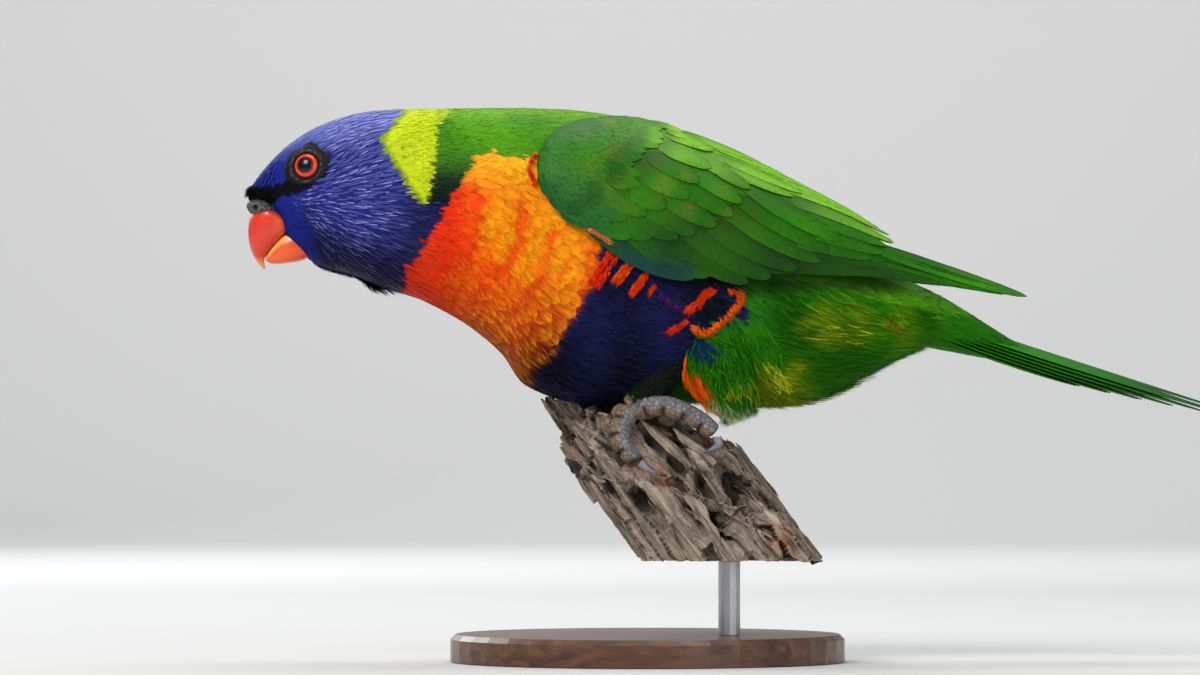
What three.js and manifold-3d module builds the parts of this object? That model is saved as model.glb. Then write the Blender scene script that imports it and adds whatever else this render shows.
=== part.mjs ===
// A rainbow lorikeet, life size and still, leaning forward off a splintered piece of a hollow limb on a
// plain display stand. Millimetres, +Z up. The bird faces -X, and its left side faces -Y.
// The shapes are worked out in the bird's own frame, whose origin is on the wood under its feet. The
// finished group is then shifted so that its origin lies under the middle of the whole object.
import * as THREE from "three";
import { mergeVertices } from "three/addons/utils/BufferGeometryUtils.js";
import Module from "manifold-3d";

const wasm = await Module();
wasm.setup();

// Driving sizes, in millimetres and degrees
const GAP = 0.3; // between pieces that touch
const WELD = 1e-3; // points closer than this are one point
const EYE = { centre: [-85.3, 8.8, 77.0], radius: 4.6, opening: 3.6, look: [-0.28, 1, 0.2] };
const TAIL = { base: [70, 40.5], slope: 18, length: 122, feathers: 12, half: 4.4 };
const SAW_CUT = -38; // the height of the level cut under the wood
const BASE = { centre: [14, 0], radius: 58, thick: 8, chamfer: 1.5, top: -60 };
const ROD = { radius: 3, spread: 15, x: 38 };

const FULLNESS = 0.9; // the power that makes the trunk's sections a little fuller than ellipses

// The head, neck and trunk, from the face to the root of the tail. Each station gives the points where
// its section meets the back line and the belly line, as [x, z], half its width, and how much wider it
// is low down than high up.
const STATIONS = [
  { back: [-102.6, 66.6], belly: [-87.6, 52.6], half: 3.6, low: 0 },
  { back: [-103.6, 68.6], belly: [-85.6, 50.2], half: 5.2, low: 0 },
  { back: [-102.3, 72.0], belly: [-83.0, 48.6], half: 7.2, low: 0.02 },
  { back: [-99.6, 75.8], belly: [-79.6, 47.2], half: 10.2, low: 0.04 },
  { back: [-95.3, 80.6], belly: [-75.6, 46.2], half: 13.0, low: 0.06 },
  { back: [-89.4, 85.6], belly: [-71.0, 44.8], half: 15.2, low: 0.08 },
  { back: [-81.8, 89.8], belly: [-66.0, 42.6], half: 16.6, low: 0.08 },
  { back: [-72.0, 93.0], belly: [-60.0, 40.6], half: 17.8, low: 0.06 },
  { back: [-61.0, 94.2], belly: [-53.0, 38.4], half: 19.0, low: 0.04 },
  { back: [-48.0, 94.4], belly: [-45.0, 34.6], half: 21.4, low: 0.03 },
  { back: [-34.0, 94.6], belly: [-36.8, 29.4], half: 24.0, low: 0.03 },
  { back: [-20.0, 94.6], belly: [-29.0, 22.6], half: 26.2, low: 0.02 },
  { back: [-6.0, 93.8], belly: [-22.0, 13.6], half: 27.6, low: 0 },
  { back: [8.0, 91.6], belly: [-9.0, 8.4], half: 28.2, low: -0.02 },
  { back: [21.0, 87.6], belly: [7.0, 7.0], half: 27.8, low: -0.04 },
  { back: [33.0, 82.4], belly: [23.0, 8.0], half: 26.4, low: -0.04 },
  { back: [45.0, 75.6], belly: [38.0, 7.6], half: 24.0, low: -0.03 },
  { back: [56.5, 67.6], belly: [52.0, 7.2], half: 21.2, low: -0.02 },
  { back: [68.5, 58.6], belly: [65.0, 10.2], half: 17.8, low: 0 },
  { back: [80.5, 50.2], belly: [77.0, 15.6], half: 14.6, low: 0 },
  { back: [91.5, 43.6], belly: [87.0, 20.6], half: 12.2, low: 0 },
  { back: [100.5, 39.6], belly: [95.6, 24.4], half: 10.6, low: 0 },
];
const LAST_STATION = STATIONS.length - 1;
// The lengths that the trunk is parted into, each from one station to another
const TRUNK = { head: [0, 7.5], neck: [7.5, 10], chest: [10, 13], belly: [13, 17], rump: [17, 21] };
const TRUNK_SIDES = 28;
const RINGS_PER_STATION = 1.6;

// The folded left wing, from its bend to its tip: its upper and lower edges as [x, y, z], and how far it
// swells outwards between them. The right wing mirrors it.
const WING = [
  { upper: [-18.5, -23.2, 77.5], lower: [-18.5, -24.2, 74.5], swell: 0.5 },
  { upper: [-16.0, -19.1, 85.0], lower: [-15.8, -27.4, 68.5], swell: 3 },
  { upper: [-9.0, -14.9, 90.0], lower: [-9.0, -29.4, 61.5], swell: 5.5 },
  { upper: [4.0, -10.2, 92.2], lower: [4.0, -30.3, 53.5], swell: 8 },
  { upper: [20.0, -7.4, 90.0], lower: [20.0, -30.1, 46.5], swell: 9 },
  { upper: [36.0, -6.0, 83.6], lower: [38.0, -27.9, 43.6], swell: 8.5 },
  { upper: [52.0, -5.1, 75.8], lower: [55.0, -23.6, 43.8], swell: 7 },
  { upper: [70.0, -4.7, 66.6], lower: [73.0, -18.2, 44.3], swell: 5 },
  { upper: [88.0, -4.2, 55.8], lower: [91.0, -13.2, 43.2], swell: 3 },
  { upper: [108.0, -3.7, 47.0], lower: [109.0, -9.1, 40.6], swell: 1.4 },
  { upper: [127.0, -3.7, 39.5], lower: [127.0, -6.0, 37.4], swell: 0.4 },
];
const LAST_WING_STATION = WING.length - 1;

const vector = (x, y, z) => new THREE.Vector3(x, y, z);
const radians = THREE.MathUtils.degToRad;
const mix = THREE.MathUtils.lerp;
const step = THREE.MathUtils.smoothstep;
const smooth = (points) => new THREE.CatmullRomCurve3(points, false, "catmullrom", 0.5);

// A number from 0 to 1 that looks random but is always the same for the same place.
function scatter(a, b, c = 0) {
  const wave = Math.sin(a * 12.9898 + b * 78.233 + c * 37.719) * 43758.5453;
  return wave - Math.floor(wave);
}

// Solids, and how they are joined

const made = (vertProperties, triVerts) =>
  new wasm.Manifold(new wasm.Mesh({ numProp: 3, vertProperties, triVerts }));

// A closed geometry as a solid, turned the right way out.
function solid(geometry) {
  const bare = new THREE.BufferGeometry();
  bare.setAttribute("position", geometry.getAttribute("position"));
  bare.setIndex(geometry.getIndex());
  const merged = mergeVertices(bare, WELD);
  const points = merged.getAttribute("position").array;
  const faces = new Uint32Array(merged.getIndex().array);
  const first = made(points, faces);
  return first.volume() > 0 ? first : made(points, faces.reverse());
}

const joined = (solids) => wasm.Manifold.union(solids);

// The largest closed surface of a solid, which drops a sealed hollow or a loose scrap.
const largest = (whole) => whole.decompose().reduce((a, b) => (b.volume() > a.volume() ? b : a));

function geometryOf(whole) {
  const { vertProperties, triVerts } = whole.getMesh();
  const geometry = new THREE.BufferGeometry();
  geometry.setAttribute("position", new THREE.BufferAttribute(new Float32Array(vertProperties), 3));
  geometry.setIndex(new THREE.BufferAttribute(new Uint32Array(triVerts), 1));
  return geometry;
}

// The same solid on the other side of the bird.
function mirrored(whole) {
  const geometry = geometryOf(whole);
  geometry.scale(1, -1, 1);
  return solid(geometry);
}

// A closed body from a cylinder whose rings are moved. place(along, angle, share) gives each point:
// along runs from 0 to 1, and share is 0 in the middle of an end and 1 on the surface.
function loft(sides, rings, place) {
  const geometry = new THREE.CylinderGeometry(1, 1, 1, sides, rings);
  const position = geometry.getAttribute("position");
  for (let i = 0; i < position.count; i++) {
    const [x, y, z] = [position.getX(i), position.getY(i), position.getZ(i)];
    const share = Math.hypot(x, z) < 0.5 ? 0 : 1;
    const point = place(0.5 - y, Math.atan2(x, z), share);
    position.setXYZ(i, point.x, point.y, point.z);
  }
  return solid(geometry);
}

// A round body along a path, whose radii are given at even places along it. pads is how many times it
// swells on the way.
function tapered(path, radii, { grow = 0, pads = 0, sides = 7, rings = 4 } = {}) {
  const curve = smooth(path.map((p) => vector(...p)));
  const sizes = smooth(radii.map((r) => vector(r, 0, 0)));
  const frames = curve.computeFrenetFrames(rings, false);
  return loft(sides, rings, (along, angle, share) => {
    const ring = Math.round(along * rings);
    const swell = pads ? 1 - PAD_SWELL * Math.cos(2 * Math.PI * pads * along) : 1;
    const r = (sizes.getPoint(along).x * swell + grow) * share;
    return curve
      .getPointAt(ring / rings)
      .addScaledVector(frames.normals[ring], r * Math.cos(angle))
      .addScaledVector(frames.binormals[ring], r * Math.sin(angle));
  });
}

// A feather: a thin closed plate through the places that at(along) gives as { point, side, normal }. Both
// faces are split into triangles alike, so that they can't cross where it bends.
function vane({ steps, half, outline, thick }, at) {
  const corners = [];
  const faces = [];
  for (let i = 0; i <= steps; i++) {
    const along = Math.sin((Math.PI / 2) * (i / steps)); // closer together towards the tip
    const { point, side, normal } = at(along);
    const wide = half * outline(along);
    for (const [across, up] of [[-1, 1], [1, 1], [1, -1], [-1, -1]]) {
      const corner = point.clone().addScaledVector(side, across * wide);
      corners.push(...corner.addScaledVector(normal, (up * thick) / 2).toArray());
    }
    if (i === steps) continue;
    const [a, b] = [4 * i, 4 * i + 4];
    faces.push(a, a + 1, b + 1, a, b + 1, b); // the upper face
    faces.push(a + 3, b + 2, a + 2, a + 3, b + 3, b + 2); // the lower face
    faces.push(a + 1, a + 2, b + 2, a + 1, b + 2, b + 1, a, b, b + 3, a, b + 3, a + 3); // the edges
  }
  const end = 4 * steps;
  faces.push(0, 3, 2, 0, 2, 1, end, end + 1, end + 2, end, end + 2, end + 3);
  const geometry = new THREE.BufferGeometry();
  geometry.setAttribute("position", new THREE.Float32BufferAttribute(corners, 3));
  geometry.setIndex(faces);
  return solid(geometry);
}

// The outlines of feathers: their half width along them, as a share of the greatest one
const roundTip = (along) => Math.max(0.14, Math.min(1, 0.7 + along) * Math.sqrt(1 - along ** 4));
const longTip = (along) => Math.max(0.12, Math.min(1, 0.6 + 0.8 * along) * Math.sqrt(1 - along ** 8));
const sharpTip = (along) => Math.max(0.08, Math.min(1, 0.75 + along) * (1 - along ** 3) ** 0.8);

// The head, neck and trunk

const backLine = smooth(STATIONS.map((s) => vector(s.back[0], 0, s.back[1])));
const bellyLine = smooth(STATIONS.map((s) => vector(s.belly[0], 0, s.belly[1])));
const girthLine = smooth(STATIONS.map((s) => vector(s.half, s.low, 0)));
const fuller = (share) => Math.sign(share) * Math.abs(share) ** FULLNESS;

// A point of the trunk's surface. angle is 0 on the back and a quarter turn on the left side, and grow
// moves the surface outwards.
function trunkPoint(station, angle, share = 1, grow = 0) {
  const along = station / LAST_STATION;
  const up = backLine.getPoint(along);
  const belly = bellyLine.getPoint(along);
  const girth = girthLine.getPoint(along);
  const centre = up.clone().add(belly).multiplyScalar(0.5);
  const depth = up.sub(belly).length() / 2 + grow;
  const wide = (girth.x + grow) * (1 - girth.y * Math.cos(angle));
  return centre
    .addScaledVector(up.normalize(), share * depth * fuller(Math.cos(angle)))
    .add(vector(0, -share * wide * fuller(Math.sin(angle)), 0));
}

// The length of trunk from one station to another. An end that meets another length is drawn back by
// half the gap, measured where the two sections lie closest.
function trunkLength(from, to, grow = 0) {
  const short = 0.1; // of a station
  const apart = (station, angle) =>
    trunkPoint(station, angle).distanceTo(trunkPoint(station + short, angle)) / short;
  const drawnBack = (station) => GAP / 2 / Math.min(apart(station, 0), apart(station, Math.PI));
  const start = from === 0 ? from : from + drawnBack(from);
  const end = to === LAST_STATION ? to : to - drawnBack(to - short);
  const rings = Math.round((to - from) * RINGS_PER_STATION);
  return loft(TRUNK_SIDES, rings, (along, angle, share) =>
    trunkPoint(mix(start, end, along), angle, share, grow),
  );
}

// The bill, from its root in the face to its tip. Each station gives its upper and lower edges as [x, z]
// and half its width.
const UPPER_BILL = [
  { upper: [-97.4, 66.4], lower: [-92.6, 63.2], half: 3.6 },
  { upper: [-100.8, 66.0], lower: [-91.3, 60.8], half: 6.0 },
  { upper: [-102.6, 63.2], lower: [-91.9, 58.4], half: 6.3 },
  { upper: [-103.4, 60.2], lower: [-93.4, 57.0], half: 6.0 },
  { upper: [-103.5, 57.2], lower: [-95.2, 55.0], half: 5.3 },
  { upper: [-103.0, 54.0], lower: [-97.2, 52.8], half: 4.2 },
  { upper: [-102.0, 51.3], lower: [-98.6, 50.8], half: 2.8 },
  { upper: [-100.5, 49.0], lower: [-98.7, 49.2], half: 1.4 },
  { upper: [-98.9, 47.2], lower: [-98.4, 47.5], half: 0.4 },
];
const LOWER_BILL = [
  { upper: [-88.6, 57.9], lower: [-85.0, 51.0], half: 4.6 },
  { upper: [-90.9, 58.0], lower: [-88.0, 49.7], half: 5.5 },
  { upper: [-93.5, 56.7], lower: [-92.2, 49.0], half: 5.2 },
  { upper: [-95.6, 54.7], lower: [-95.0, 48.8], half: 4.4 },
  { upper: [-97.2, 52.9], lower: [-97.0, 49.0], half: 3.1 },
  { upper: [-98.4, 51.4], lower: [-98.3, 49.9], half: 1.5 },
];
const BILL_SIDES = 12;

function mandible(stations, grow = 0) {
  const rings = 2 * (stations.length - 1);
  const upper = smooth(stations.map((s) => vector(s.upper[0], 0, s.upper[1])));
  const lower = smooth(stations.map((s) => vector(s.lower[0], 0, s.lower[1])));
  const width = smooth(stations.map((s) => vector(s.half, 0, 0)));
  return loft(BILL_SIDES, rings, (along, angle, share) => {
    const up = upper.getPoint(along);
    const low = lower.getPoint(along);
    const centre = up.clone().add(low).multiplyScalar(0.5);
    const depth = up.sub(low).length() / 2 + grow;
    const wide = width.getPoint(along).x + grow;
    return centre
      .addScaledVector(up.normalize(), share * depth * Math.cos(angle))
      .add(vector(0, share * wide * Math.sin(angle), 0));
  });
}

// The fleshy pad over the root of the bill, with its two nostrils
const CERE = { centre: [-100.0, 0, 65.0], radii: [3.9, 5.7, 3.1], turn: -32 };
const NOSTRIL = { centre: [-101.6, 4.4, 65.2], radii: [1.0, 1.4, 0.8] };

function ellipsoid(centre, radii, turn, sides, rings, grow = 0) {
  const ball = new THREE.SphereGeometry(1, sides, rings);
  ball.scale(...radii.map((r) => r + grow));
  ball.rotateY(radians(turn));
  ball.translate(...centre);
  return solid(ball);
}

const cere = (grow = 0) => ellipsoid(CERE.centre, CERE.radii, CERE.turn, 12, 7, grow);

function nostril(side) {
  const [x, y, z] = NOSTRIL.centre;
  return ellipsoid([x, side * y, z], NOSTRIL.radii, 0, 7, 4);
}

// Eyes. side is -1 for the left one and 1 for the right one.
const onSide = ([x, y, z], side) => [x, side * y, z];

function eyeball(side, grow = 0) {
  const radius = EYE.radius + grow;
  return ellipsoid(onSide(EYE.centre, side), [radius, radius, radius], 0, 14, 9);
}

// The ring of lids round an eye, which the head carries
const LIDS = { thick: 0.9, wider: 0.75, raised: 0.35 };

function lids(side) {
  const ring = new THREE.TorusGeometry(EYE.opening + LIDS.wider, LIDS.thick, 5, 15);
  const look = vector(...onSide(EYE.look, side)).normalize();
  ring.applyQuaternion(new THREE.Quaternion().setFromUnitVectors(vector(0, 0, 1), look));
  const out = Math.sqrt(EYE.radius ** 2 - EYE.opening ** 2) + LIDS.raised;
  ring.translate(...vector(...onSide(EYE.centre, side)).addScaledVector(look, out).toArray());
  return solid(ring);
}

// The wings

const wingUpper = smooth(WING.map((s) => vector(...s.upper)));
const wingLower = smooth(WING.map((s) => vector(...s.lower)));
const wingSwell = smooth(WING.map((s) => vector(s.swell, 0, 0)));

// A point of the left wing's surface: station runs from its bend to its tip, and down is 0 at its upper
// edge and 1 at its lower one.
function wingSurface(station, down) {
  const along = station / LAST_WING_STATION;
  const upper = wingUpper.getPoint(along);
  const lower = wingLower.getPoint(along);
  const outwards = vector(0, lower.z - upper.z, upper.y - lower.y).normalize();
  const swell = wingSwell.getPoint(along).x * 4 * down * (1 - down);
  return upper.lerp(lower, down).addScaledVector(outwards, swell);
}

// The place at that point, lifted off the surface, with the direction that points out of it
function wingPlace(station, down, lift = 0) {
  const short = 0.01;
  const s = Math.min(station, LAST_WING_STATION - short);
  const d = THREE.MathUtils.clamp(down, 0, 1 - short);
  const here = wingSurface(s, d);
  const ahead = wingSurface(s + short, d).sub(here);
  const below = wingSurface(s, d + short).sub(here);
  const normal = below.cross(ahead).normalize();
  return { point: wingSurface(station, down).addScaledVector(normal, lift), normal };
}

// A feather that lies on the wing from root to tip, each given as [station, down, lift]. Its lower edge
// is raised over the feather below it.
function wingVane(row, root, tip) {
  const at = (along) => wingPlace(...root.map((value, k) => mix(value, tip[k], along)));
  const short = 0.02;
  const slant = radians(WING_VANES.slant);
  return vane({ ...WING_VANES, ...row }, (along) => {
    const { point, normal } = at(along);
    const ahead = at(Math.min(1, along + short)).point.sub(at(Math.max(0, along - short)).point);
    const below = ahead.normalize().clone().cross(normal).normalize();
    if (below.z > 0) below.negate();
    const side = below.clone().multiplyScalar(Math.cos(slant)).addScaledVector(normal, Math.sin(slant));
    return { point, side, normal: side.clone().cross(ahead).normalize() };
  });
}

// The flesh and the folded feathers under the rows that show, thinner towards the wing's tip
const WING_CORE = { from: 0.1, to: 8.6, sides: 14, rings: 11, deep: 6, thin: 1.5, half: 0.49 };

function wingCore() {
  const { from, to, sides, rings, deep, thin, half } = WING_CORE;
  return loft(sides, rings, (along, angle, share) => {
    const station = mix(from, to, along);
    const depth = mix(thin, deep, step(station, 0, 1.5) * (1 - step(station, 5, 8)));
    const inwards = share === 0 ? depth / 2 : depth * Math.max(0, -Math.sin(angle));
    return wingPlace(station, 0.5 - half * share * Math.cos(angle), -inwards).point;
  });
}

// The rows of feathers, from the rearmost up to the bend. A row's tips run from its lowest feather to
// its highest one, as [station, down]. Its roots lie reach stations ahead of its tips, sunk in the core
// and gathered a little towards the middle of the wing, and its tips stand off the wing by lift.
const WING_VANES = { sunk: 0.7, slant: 11, thick: 0.55, steps: 3, firstRoot: 0.2, gathered: 0.1 };
const WING_ROWS = [
  // primaries
  { count: 4, low: [8.7, 0.85], high: [9.9, 0.4], reach: 2.5, half: 3.4, lift: 0.4, outline: longTip },
  // secondaries
  { count: 6, low: [5.4, 0.98], high: [8.1, 0.1], reach: 2.1, half: 5.6, lift: 1.4, outline: longTip },
  // greater coverts
  { count: 5, low: [4.3, 0.97], high: [6.4, 0.1], reach: 1.5, half: 6.4, lift: 1.9, outline: roundTip },
  // median coverts
  { count: 5, low: [3.2, 0.95], high: [4.9, 0.12], reach: 1.3, half: 6.0, lift: 1.9, outline: roundTip },
  // lesser coverts
  { count: 5, low: [2.0, 0.92], high: [3.6, 0.12], reach: 1.2, half: 5.6, lift: 1.8, outline: roundTip },
  { count: 3, low: [1.1, 0.86], high: [2.3, 0.16], reach: 1.0, half: 5.8, lift: 1.5, outline: roundTip },
];

function leftWing() {
  const pieces = [wingCore()];
  for (const row of WING_ROWS) {
    for (let i = 0; i < row.count; i++) {
      const share = i / (row.count - 1);
      const tip = [mix(row.low[0], row.high[0], share), mix(row.low[1], row.high[1], share)];
      const ahead = Math.max(WING_VANES.firstRoot, tip[0] - row.reach);
      const root = [ahead, mix(tip[1], 0.5, WING_VANES.gathered)];
      pieces.push(wingVane(row, [...root, -WING_VANES.sunk], [...tip, row.lift]));
    }
  }
  return joined(pieces);
}

// The tail

const tailAhead = vector(Math.cos(radians(TAIL.slope)), 0, -Math.sin(radians(TAIL.slope)));
const tailUp = vector(-tailAhead.z, 0, tailAhead.x);

// A place on the tail: so far along it from its base, across it to the right, and above its middle
const tailPoint = (ahead, across, above) =>
  vector(TAIL.base[0], across, TAIL.base[1])
    .addScaledVector(tailAhead, ahead)
    .addScaledVector(tailUp, above);

// Its root fills the end of the rump, and tapers into the stack of its feathers.
const TAIL_ROOT = { from: 29.7, to: 54, half: [10, 6], deep: [7.4, 2.6], above: [0.5, -1.5] };
const TAIL_FAN = { sunk: 18, shorter: 9.2, spread: 1.7, droop: 0.85, roll: 12, above: 2, thick: 0.55 };

// One tail feather. pair is 0 for the central two and grows outwards, and side is -1 or 1. Its inner
// edge is straight, and runs beside the tail's middle or fans out from it.
function tailFeather(pair, side) {
  const feather = { steps: 4, half: TAIL.half, outline: sharpTip, thick: TAIL_FAN.thick };
  const length = TAIL.length - pair * TAIL_FAN.shorter;
  const yaw = radians(TAIL_FAN.spread * pair);
  const outwards = vector(0, side, 0).applyAxisAngle(tailAhead, radians(TAIL_FAN.roll) * side);
  const ahead = tailAhead.clone().multiplyScalar(Math.cos(yaw)).addScaledVector(outwards, Math.sin(yaw));
  const root = TAIL_ROOT.to - TAIL_FAN.sunk;
  const start = tailPoint(root, (side * GAP) / 2, TAIL_FAN.above - TAIL_FAN.droop * pair);
  return vane(feather, (along) => ({
    point: start
      .clone()
      .addScaledVector(ahead, along * (length - root))
      .addScaledVector(outwards, feather.half * feather.outline(along)),
    side: outwards,
    normal: tailAhead.clone().cross(outwards).normalize(),
  }));
}

// The soft feathers over and under the root of the tail, and how they are set round it: how far they
// turn to each side, how deep in its surface their roots and their tips lie as shares of its girth, and
// how much shorter the outer ones are.
const TAIL_COVERTS = [
  { count: 4, above: 1, length: 27, half: 4.8, steps: 3, outline: roundTip, thick: 0.7 },
  { count: 4, above: -1, length: 33, half: 5.0, steps: 3, outline: roundTip, thick: 0.7 },
];
const COVERTS_SET = { turn: 1.15, wide: 8.5, deep: 6.2, from: 1.2, roots: 0.92, tips: 0.8, shorter: 0.18 };

function tailCovert(row, i) {
  const { wide, deep, from, roots, tips, shorter } = COVERTS_SET;
  const turn = mix(-COVERTS_SET.turn, COVERTS_SET.turn, i / (row.count - 1));
  const place = (ahead, size) =>
    tailPoint(
      TAIL_ROOT.from + ahead,
      Math.sin(turn) * wide * size,
      TAIL_ROOT.above[0] + row.above * Math.cos(turn) * deep * size,
    );
  const root = place(from, roots);
  const ahead = place(row.length * (1 - shorter * Math.abs(turn)), tips).sub(root);
  const outwards = vector(0, Math.sin(turn), 0).addScaledVector(tailUp, row.above * Math.cos(turn));
  const side = ahead.clone().cross(outwards).normalize();
  const normal = side.clone().cross(ahead).normalize();
  return vane(row, (along) => ({ point: root.clone().addScaledVector(ahead, along), side, normal }));
}

function tail() {
  const { from, to, half, deep, above } = TAIL_ROOT;
  const root = loft(16, 3, (along, angle, share) =>
    tailPoint(
      mix(from, to, along),
      share * mix(...half, along) * Math.sin(angle),
      mix(...above, along) + share * mix(...deep, along) * Math.cos(angle),
    ),
  );
  const pieces = [root];
  for (let pair = 0; pair < TAIL.feathers / 2; pair++) {
    pieces.push(tailFeather(pair, -1), tailFeather(pair, 1));
  }
  for (const row of TAIL_COVERTS) {
    for (let i = 0; i < row.count; i++) pieces.push(tailCovert(row, i));
  }
  return joined(pieces);
}

// The legs and feet, given for the left side. The right foot stands further forward and a little higher.
const THIGH = {
  path: [[29, 16, 30], [34, 16.5, 20], [38.5, 16.5, 11], [41, 16, 4.4]], radii: [11, 10.5, 8, 4.4],
};
const TARSUS = { path: [[19, 14.6, 15.5], [13, 14.2, 9.8], [8.6, 14, 6]], radii: [2.9, 2.7, 3.1] };
const CLAW_RADII = [1.45, 1.0, 0.25];
const TOES = [
  { name: "front_outer", pads: 4, radii: [2.7, 2.0],
    path: [[9, 14.6, 6], [6.2, 16.8, 1.4], [6.8, 18.6, -4.2], [10.6, 19.4, -8.6]],
    claw: [[11.6, 19.5, -9.5], [14.6, 19.8, -12], [19.6, 19.2, -13]] },
  { name: "front_inner", pads: 3, radii: [2.6, 1.9],
    path: [[8.4, 13.4, 5.5], [4.8, 12, 3.2], [1.8, 11, -1.4], [2.0, 10.6, -5.6]],
    claw: [[2.4, 10.6, -6.8], [3.8, 10.8, -9.6], [6.8, 11.2, -11.4]] },
  { name: "rear_outer", pads: 5, radii: [2.7, 2.0],
    path: [[9.6, 14.6, 6], [14.6, 16.4, 7.6], [22, 17.6, 6.6], [29, 17.8, 3.2], [33.6, 17.6, -0.6]],
    claw: [[34.2, 17.6, -1.8], [34.4, 17.6, -4.4], [30.4, 17.4, -6.6]] },
  { name: "rear_inner", pads: 2, radii: [2.4, 1.8],
    path: [[9.6, 13.2, 6], [14, 10.6, 6.2], [19, 9.2, 4.4], [23, 8.8, 2.8]],
    claw: [[23.8, 8.8, 2.6], [27, 8.8, 2.2], [29.2, 9, -0.4]] },
];
const PAD_SWELL = 0.12;
const RIGHT_FOOT = { ahead: 10, higher: 2 };

const footPath = (path, side) =>
  path.map(([x, y, z]) =>
    side > 0 ? [x - RIGHT_FOOT.ahead, y, z + RIGHT_FOOT.higher] : [x, -y, z],
  );

// The tarsus and the four toes of a foot as one body
function foot(side, grow = 0) {
  const pieces = [tapered(footPath(TARSUS.path, side), TARSUS.radii, { grow })];
  for (const { path, radii, pads } of TOES) {
    pieces.push(tapered(footPath(path, side), radii, { grow, pads, rings: 2 * pads }));
  }
  return joined(pieces);
}

const claw = (toe, side, grow = 0) => tapered(footPath(toe.claw, side), CLAW_RADII, { grow, sides: 6 });

const thigh = (side) =>
  tapered(THIGH.path.map((point) => onSide(point, side)), THIGH.radii, { sides: 14, rings: 6 });

// The wood: a length of the limb's wall, broken off at the top and sawn level at the bottom. Its splinters
// run down the grain. Its outer face lies further back where the left foot grips it.
const WOOD = { slope: 54, inner: 30, wide: 30, parts: [8, 10, 3], ridges: 0.16, rough: 0.08, seed: 3 };
const OUTER_FACE = { atLeftFoot: -1.2, beyond: -8.4, curve: [-6, 6], ledge: -13 };
const BREAK = { height: [17, -27], rough: 4, ledge: [14, 20], drop: 26 };
// Splinters that stand out round the broken end. along and sizes shape one from its point down, places
// says how near the wood's two sides they lie, and wider how flat they are.
const SPLINTERS = {
  count: 14, long: [10, 22], half: [1.4, 3.0], proud: [0.5, 5], along: [0, 0.55, 1], sizes: [0.2, 1, 1.1],
  places: [0.62, 0.95], wider: 1.5,
};
// The broad splinter ahead of the left foot, the highest of them. skew leans its edges along the grain.
const PLANK = {
  top: 18.5, long: 44, through: -8.6, across: 3, half: [3.4, 3.2], along: [0, 0.2, 0.6, 1],
  sizes: [0.15, 0.7, 1, 1], skew: 2,
};
const grain = vector(-Math.cos(radians(WOOD.slope)), 0, Math.sin(radians(WOOD.slope)));
const throughWood = vector(grain.z, 0, -grain.x);

// A place in the wood: so far up the grain, through the wall, and across it
const woodPoint = (up, through, across) =>
  vector(0, across, 0).addScaledVector(grain, up).addScaledVector(throughWood, through);

function outerFace(across) {
  const { atLeftFoot, beyond, curve, ledge } = OUTER_FACE;
  const face = mix(atLeftFoot, beyond, step(across, ...curve));
  return mix(face, ledge, step(-across, ...BREAK.ledge));
}

// How far up the grain the broken end reaches
function brokenEnd(through, across) {
  const share = (through - OUTER_FACE.beyond) / (WOOD.inner - OUTER_FACE.beyond);
  return mix(...BREAK.height, share) - BREAK.drop * step(Math.abs(across), ...BREAK.ledge);
}

function woodBlock() {
  const [columns, rows, levels] = WOOD.parts;
  const block = new THREE.BoxGeometry(1, 1, 1, columns, rows, levels);
  const position = block.getAttribute("position");
  for (let i = 0; i < position.count; i++) {
    const [u, v, w] = [position.getX(i), position.getY(i), position.getZ(i)];
    const [column, row, level] = [u * columns, v * rows, w * levels].map(Math.round);
    const chance = (kind) => scatter(column, row, kind + WOOD.seed) - 0.5;
    const ragged = 1 + WOOD.ridges * chance(0) + WOOD.rough * (scatter(column, row, level) - 0.5);
    const across = 2 * v * WOOD.wide * ragged;
    const through = mix(outerFace(across), WOOD.inner, 0.5 + u * ragged);
    const top = brokenEnd(through, across) + BREAK.rough * chance(7);
    const bottom = (SAW_CUT - throughWood.z * through) / grain.z;
    const point = woodPoint(mix(bottom, top, w + 0.5), through, across);
    position.setXYZ(i, point.x, point.y, point.z);
  }
  return solid(block);
}

// A flat spike down the grain, whose middle lies at through and across. place(size, angle) gives each
// corner's distance from it, up the grain, through the wood and across it.
function spike({ along, sizes }, sides, { top, long, through, across }, place) {
  const rings = along.length - 1;
  return loft(sides, rings, (share, angle, filled) => {
    const ring = Math.round(share * rings);
    const [up, inwards, aside] = place(filled * sizes[ring], angle);
    return woodPoint(top - long * along[ring] + up, through + inwards, across + aside);
  });
}

function splinter(i) {
  const { count, long, half, proud, places, wider } = SPLINTERS;
  const chance = (kind) => scatter(i, kind, WOOD.seed);
  const side = i % 2 ? 1 : -1;
  const across = side * mix(...places, chance(2)) * WOOD.wide;
  const through = mix(outerFace(across), WOOD.inner, (i + chance(1)) / count);
  const top = brokenEnd(through, across) + mix(...proud, chance(3));
  const middle = { top, long: mix(...long, chance(4)), through, across };
  const size = mix(...half, chance(5));
  const corner = (share, angle) => [
    0, share * size * Math.cos(angle + i), share * size * wider * Math.sin(angle + i),
  ];
  return spike(SPLINTERS, 4, middle, corner);
}

const plank = () =>
  spike(PLANK, 6, PLANK, (share, angle) => [
    share * PLANK.skew * Math.sin(2 * angle),
    share * PLANK.half[0] * Math.cos(angle),
    share * PLANK.half[1] * Math.sin(angle),
  ]);

function wood() {
  const pieces = [woodBlock(), plank()];
  for (let i = 0; i < SPLINTERS.count; i++) pieces.push(splinter(i));
  return joined(pieces);
}

// The stand

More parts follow.
